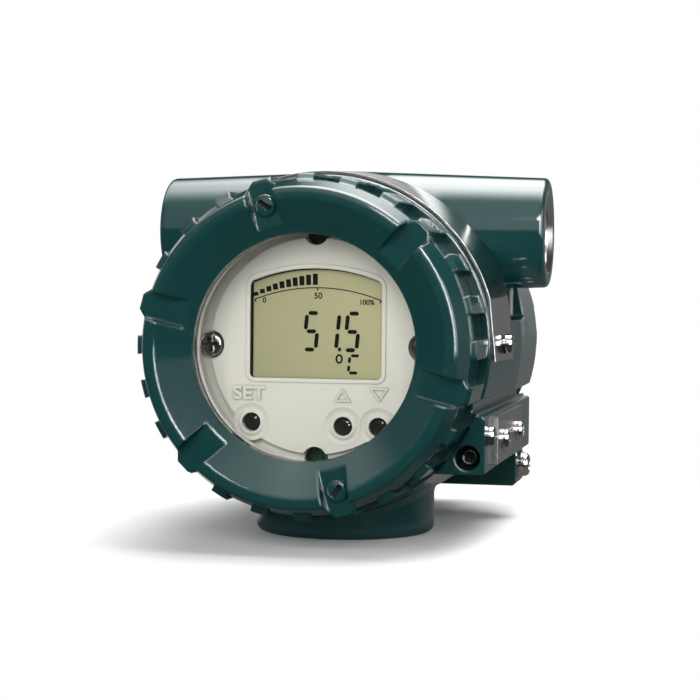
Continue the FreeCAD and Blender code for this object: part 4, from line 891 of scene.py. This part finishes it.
bmesh.ops.transform(marks, matrix=face_stand, verts=marks.verts)
to_piece("button_marks", marks, raised_plastic, "base", smooth=25)

# Push buttons: black plungers with a flat face and a bevelled edge, each in a raised collar that
# stands in a shallow round dish of the bezel. They travel half a millimetre.
BUTTON_LIGHT = (0.017, 0.017, 0.014, 1.0)
BUTTON_DARK = (0.012, 0.012, 0.010, 1.0)
BUTTON_GLOSS = (0.06, 0.10)
BUTTON_STRENGTH = 0.02
BUTTON_STEPS = 48
COLLAR_DEPTH = 4.4 * MM
COLLAR_THICKNESS = 0.8 * MM
BUTTON_SECTION = ((0.0, 0.0), (1.35, 0.0), (1.675, 0.138), (2.0, 0.3), (2.12, 0.42), (2.2, 0.6))
DISH_SECTION = ((2.52, 0.5), (2.52, 0.03), (2.66, -0.02), (3.0, -0.02), (3.25, 0.06), (3.5, 0.34),
                (3.75, 0.42), (4.1, 0.34), (4.5, 0.16), (4.88, 0.02), (4.89, 0.5))


def spun(section, closed):
    """A ring or round piece turned from its section, given as radius and height."""
    shape = bmesh.new()
    outline = [shape.verts.new((radius, 0, height)) for radius, height in section]
    pairs = list(zip(outline, outline[1:]))
    if closed:
        pairs.append((outline[-1], outline[0]))
    edges = [shape.edges.new(pair) for pair in pairs]
    bmesh.ops.spin(shape, geom=outline + edges, cent=(0, 0, 0), axis=(0, 0, 1), angle=2 * math.pi,
                   steps=BUTTON_STEPS, use_merge=True)
    bmesh.ops.remove_doubles(shape, verts=shape.verts, dist=WELD)
    bmesh.ops.recalc_face_normals(shape, faces=shape.faces)
    return shape


gloss_black = moulded("button_black", BUTTON_LIGHT, BUTTON_DARK, BUTTON_GLOSS,
                      edge=0.0, strength=BUTTON_STRENGTH)
for name in ("button_set", "button_up", "button_down"):
    low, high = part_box(name)
    middle = (low + high) / 2
    collar = (high.x - low.x) / 2
    length = high.y - low.y
    crown = [(radius * MM, -depth * MM) for radius, depth in BUTTON_SECTION]
    stem = crown[-1][0]
    collar_front = low.y - bezel_low.y - COLLAR_DEPTH
    collar_back = collar_front - COLLAR_THICKNESS
    foot = [(stem, collar_front), (collar, collar_front), (collar, collar_back),
            (stem, collar_back), (stem, -length), (0.0, -length)]
    plunger = spun(crown + foot, False)
    stand = Matrix.Translation((middle.x, low.y, middle.z)) @ FACING["front"]
    bmesh.ops.transform(plunger, matrix=stand, verts=plunger.verts)
    to_piece(f"{name}_plunger", plunger, gloss_black, name, (name,), smooth=15)
    surround = spun([(radius * MM, -depth * MM) for radius, depth in DISH_SECTION], True)
    stand = Matrix.Translation((middle.x, bezel_low.y, middle.z)) @ FACING["front"]
    bmesh.ops.transform(surround, matrix=stand, verts=surround.verts)
    to_piece(f"{name}_surround", surround, raised_plastic, "base", smooth=60)

# Display screws: two captive pan-head screws at the sides of the bezel, into the pillars.
# They are stainless, with a cross recess.
DISPLAY_SCREW_TURNS = (12, 50)
low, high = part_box("display_screws")
middle = (low + high) / 2
spots = [Vector((spot_x, low.y + LARGE_PAN[1], middle.z))
         for spot_x in (low.x + LARGE_PAN[0], high.x - LARGE_PAN[0])]
seats = list(zip(spots, DISPLAY_SCREW_TURNS))
screws("display_screws", seats, "front", LARGE_PAN, cross_recess, screw_steel)

# Covers and seals: two cast screw covers in the housing's enamel, the front one with a window,
# the rear one blank, each sealed by a black rubber ring in its mouth.
SEAL_LIGHT = (0.016, 0.016, 0.016, 1.0)
SEAL_DARK = (0.011, 0.011, 0.011, 1.0)
SEAL_GLOSS = (0.45, 0.6)
dress(enamel("cover_enamel"), "front_cover", "rear_cover")
seal_rubber = moulded("seal_rubber", SEAL_LIGHT, SEAL_DARK, SEAL_GLOSS)
dress(seal_rubber, "front_cover_seal", "rear_cover_seal")

# Slotted plugs: two small slotted heads in the front cover's channels, painted over
# with the cover, so they show its colour; their slots are dark with painted shade.
PLUG = (3.0 * MM, 1.4 * MM, 1.6 * MM, 3.0 * MM)
PLUG_TURNS = (-33, 53)
PLUG_EDGE = 0.2 * MM
SLOT_HALF_WIDTH = 0.22
SLOT_TAPER = 0.01
SLOT_DEPTH = 0.34


def straight_slot(shape, top, radius, level):
    """A screwdriver slot across the whole head."""
    half_width = SLOT_HALF_WIDTH * radius
    planes = [(Vector((0, sign * half_width, level)), Vector((0, 1, 0))) for sign in (-1, 1)]
    cut_recess(shape, top, planes, lambda centre: abs(centre.y) < half_width,
               SLOT_TAPER * radius, SLOT_DEPTH * radius)


low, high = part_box("cover_slot_screws")
spots = (
    Vector((low.x + PLUG[0], low.y + PLUG[1], high.z - PLUG[0])),
    Vector((high.x - PLUG[0], low.y + PLUG[1], low.z + PLUG[0])),
)
screws("cover_slot_screws", list(zip(spots, PLUG_TURNS)), "front", PLUG, straight_slot,
       enamel("plug_enamel", edge=PLUG_EDGE), "front_cover")

# Window: a thick toughened pane on a black gasket, held from inside by a screwed ring of
# bare metal.
RING_LIGHT = (0.66, 0.64, 0.60, 1.0)
RING_DARK = (0.58, 0.56, 0.52, 1.0)
RING_GLOSS = (0.5, 0.6)
RING_SCALE = 1200.0
GLASS_TINT = (0.985, 0.995, 0.99, 1.0)
GLASS_IOR = 1.45
ONE_BOUNCE = 0.5
dress(seal_rubber, "glass_gasket")
dress(metal("ring_metal", RING_LIGHT, RING_DARK, RING_GLOSS, scale=RING_SCALE), "glass_retainer")
made, tree, shader, place = new_material("clear_glass")
shader.inputs["Base Color"].default_value = GLASS_TINT
shader.inputs["Roughness"].default_value = 0.0
shader.inputs["IOR"].default_value = GLASS_IOR
shader.inputs["Transmission Weight"].default_value = 1.0
path = tree.nodes.new("ShaderNodeLightPath").outputs
bounces = calculate(tree, "ADD", path["Diffuse Depth"], path["Glossy Depth"])
scattered = calculate(tree, "GREATER_THAN", bounces, ONE_BOUNCE)
clear = tree.nodes.new("ShaderNodeBsdfTransparent")
either = tree.nodes.new("ShaderNodeMixShader")
feed(tree, either.inputs[0], calculate(tree, "MAXIMUM", path["Is Shadow Ray"], scattered))
feed(tree, either.inputs[1], shader.outputs[0])
feed(tree, either.inputs[2], clear.outputs[0])
feed(tree, tree.nodes["Material Output"].inputs["Surface"], either.outputs[0])
dress(made, "window_glass")

# Studio: a pale floor that runs out to a white backdrop, a large soft box above and behind,
# a wide fill from the front, and the photograph's camera.
FLOOR_SIZE = 3.0
FLOOR_WHITE = (0.84, 0.84, 0.84, 1.0)
FLOOR_BOUNCE = (0.30, 0.30, 0.30, 1.0)
FLOOR_ROUGHNESS = 0.9
SHADOW_REACH = (0.06, 0.17)
MIRRORED_REACH = (0.02, 0.06)
BACKDROP_LEVEL = 0.55
BACKDROP_RIGHT_LEVEL = 0.12
BACKDROP_RIGHT = (-0.05, 0.12)
BACKDROP_START = (0.0, 0.4)
BACKDROP_END = (0.15, 0.35)
CEILING_LEVEL = 0.66
CEILING_LEFT_LEVEL = 0.12
CEILING_LEFT = (-0.6, -0.1)
CEILING_BACK = (0.1, 0.3)
CEILING_START = (0.05, 0.09)
CEILING_RIGHT = (0.2, 0.6)
TOP_LEVEL = 7.6
TOP_FRONT = (-0.46, 0.22)
TOP_START = (0.5, 0.85)
TOP_LEFT = (-0.4, -0.1)
TOP_RIGHT = (0.4, 0.65)
SIDE_SHARE = 0.4
STUDIO_DARK = 0.04
AMBIENT = 0.28
LAMP_AIM = Vector((0.0, 0.0, 0.05))


def fade(tree, value, start, end, before, after):
    """A smooth change from one level to another."""
    made = add_node(tree, "ShaderNodeMapRange", [("Value", value)], interpolation_type="SMOOTHSTEP",
                    From_Min=start, From_Max=end, To_Min=before, To_Max=after)
    return made.outputs[0]


def mirror_ray(tree, path):
    """Whether a ray shows the studio in gloss or through glass, without scattered light."""
    clear = calculate(tree, "MAXIMUM", path["Is Glossy Ray"], path["Is Transmission Ray"])
    return product(tree, clear, calculate(tree, "LESS_THAN", path["Diffuse Depth"], ONE_BOUNCE))


def make_studio():
    """The node group of floor and world: how bright the studio is in a direction."""
    group, given, result = new_group("studio_brightness", (("Direction", "Vector"),), (("Level", "Float"),))
    across, along, up = add_node(group, "ShaderNodeSeparateXYZ", [("Vector", given["Direction"])]).outputs
    backdrop = product(
        group, fade(group, across, *BACKDROP_RIGHT, BACKDROP_LEVEL, BACKDROP_RIGHT_LEVEL),
        fade(group, along, *BACKDROP_START, 0.0, 1.0),
        fade(group, up, *BACKDROP_END, 1.0, 0.0))
    ceiling = product(
        group, fade(group, across, *CEILING_LEFT, CEILING_LEFT_LEVEL, CEILING_LEVEL),
        fade(group, along, *CEILING_BACK, 1.0, 0.0),
        fade(group, up, *CEILING_START, 0.0, 1.0),
        fade(group, across, *CEILING_RIGHT, 1.0, SIDE_SHARE))
    top = product(
        group, fade(group, along, *TOP_FRONT, 0.0, TOP_LEVEL),
        fade(group, up, *TOP_START, 0.0, 1.0),
        fade(group, across, *TOP_LEFT, SIDE_SHARE, 1.0),
        fade(group, across, *TOP_RIGHT, 1.0, 0.0))
    level = calculate(group, "ADD", calculate(group, "MAXIMUM", backdrop, ceiling), top)
    group.links.new(calculate(group, "ADD", level, STUDIO_DARK), result["Level"])
    return group


STUDIO = make_studio()


def studio_level(tree, way):
    """The studio's brightness placed in a tree, as its level."""
    made = add_node(tree, "ShaderNodeGroup", node_tree=STUDIO)
    feed(tree, made.inputs["Direction"], way)
    return made.outputs["Level"]


shape = bmesh.new()
bmesh.ops.create_grid(shape, x_segments=1, y_segments=1, size=FLOOR_SIZE)
floor_mesh = bpy.data.meshes.new("floor")
shape.to_mesh(floor_mesh)
shape.free()
floor = bpy.data.objects.new("floor", floor_mesh)
bpy.context.scene.collection.objects.link(floor)
made, tree, shader, place = new_material("floor_paper")
shader.inputs["Roughness"].default_value = FLOOR_ROUGHNESS
shader.inputs["Specular IOR Level"].default_value = 0.0
distance = add_node(tree, "ShaderNodeVectorMath", [(0, place)], operation="LENGTH").outputs["Value"]
heading = add_node(tree, "ShaderNodeVectorMath", [(0, place)], operation="NORMALIZE").outputs["Vector"]
path = tree.nodes.new("ShaderNodeLightPath").outputs
feed(tree, shader.inputs["Base Color"], mix_colours(tree, path["Is Camera Ray"], FLOOR_BOUNCE, FLOOR_WHITE))
mirrored = mirror_ray(tree, path)
faded = calculate(
    tree, "MAXIMUM",
    product(tree, path["Is Camera Ray"], fade(tree, distance, *SHADOW_REACH, 0.0, 1.0)),
    product(tree, mirrored, fade(tree, distance, *MIRRORED_REACH, 0.0, 1.0)))
white = tree.nodes.new("ShaderNodeEmission")
shown = calculate(tree, "MAXIMUM", path["Is Camera Ray"], studio_level(tree, heading))
feed(tree, white.inputs["Strength"], shown)
either = tree.nodes.new("ShaderNodeMixShader")
feed(tree, either.inputs[0], faded)
feed(tree, either.inputs[1], shader.outputs[0])
feed(tree, either.inputs[2], white.outputs[0])
feed(tree, tree.nodes["Material Output"].inputs["Surface"], either.outputs[0])
floor_mesh.materials.append(made)

world = bpy.data.worlds.new("studio")
bpy.context.scene.world = world
world.use_nodes = True
tree = world.node_tree
way = tree.nodes.new("ShaderNodeTexCoord").outputs["Generated"]
path = tree.nodes.new("ShaderNodeLightPath").outputs
behind = add_node(tree, "ShaderNodeMix", data_type="FLOAT")
mirrored = mirror_ray(tree, path)
for index, value in ((0, mirrored), (2, AMBIENT), (3, studio_level(tree, way))):
    feed(tree, behind.inputs[index], value)
shown = calculate(tree, "MAXIMUM", path["Is Camera Ray"], behind.outputs[0])
feed(tree, tree.nodes["Background"].inputs["Strength"], shown)
tree.nodes["Background"].inputs["Color"].default_value = (1.0, 1.0, 1.0, 1.0)


def soft_box(name, place, size, power, lights, mirrored_in):
    """A soft light aimed at the object, which lights surfaces, is mirrored in them, or both."""
    light = bpy.data.lights.new(name, "AREA")
    light.shape = "RECTANGLE"
    light.size, light.size_y = size
    light.energy = power
    lamp = bpy.data.objects.new(name, light)
    lamp.location = place
    lamp.rotation_euler = (LAMP_AIM - Vector(place)).to_track_quat("-Z", "Y").to_euler()
    lamp.visible_diffuse = lights
    lamp.visible_glossy = mirrored_in
    lamp.visible_transmission = False
    bpy.context.scene.collection.objects.link(lamp)


soft_box("top_box", (0.17, 0.20, 0.86), (0.76, 0.84), 15.0, True, False)
soft_box("side_box", (0.55, -0.70, 0.30), (0.14, 0.60), 8.0, False, True)
soft_box("brow_box", (0.27, -0.84, 0.55), (0.45, 0.10), 3.5, False, True)
soft_box("right_card", (0.9, -0.16, 0.2), (0.50, 0.7), 3.5, True, True)
soft_box("front_fill", (0.0, -1.0, 0.36), (0.8, 0.6), 11.2, True, False)

LENS = 99.7
SENSOR_WIDTH = 36.0
CLIP_START = 0.01
AIM = Vector((12.24, -54.0, 52.65)) * MM
DISTANCE = 490.74 * MM
TURN = math.radians(11.96)
RISE = math.radians(2.05)
ROLL = math.radians(0.58)
camera_data = bpy.data.cameras.new("camera")
camera_data.lens = LENS
camera_data.sensor_width = SENSOR_WIDTH
camera_data.clip_start = CLIP_START
camera = bpy.data.objects.new("camera", camera_data)
towards = Vector((math.sin(TURN) * math.cos(RISE), -math.cos(TURN) * math.cos(RISE), math.sin(RISE)))
camera.location = AIM + DISTANCE * towards
camera.rotation_mode = "QUATERNION"
camera.rotation_quaternion = (-towards).to_track_quat("-Z", "Y") @ Quaternion((0, 0, 1), ROLL)
bpy.context.scene.collection.objects.link(camera)
bpy.context.scene.camera = camera
bpy.context.scene.view_settings.view_transform = "Standard"
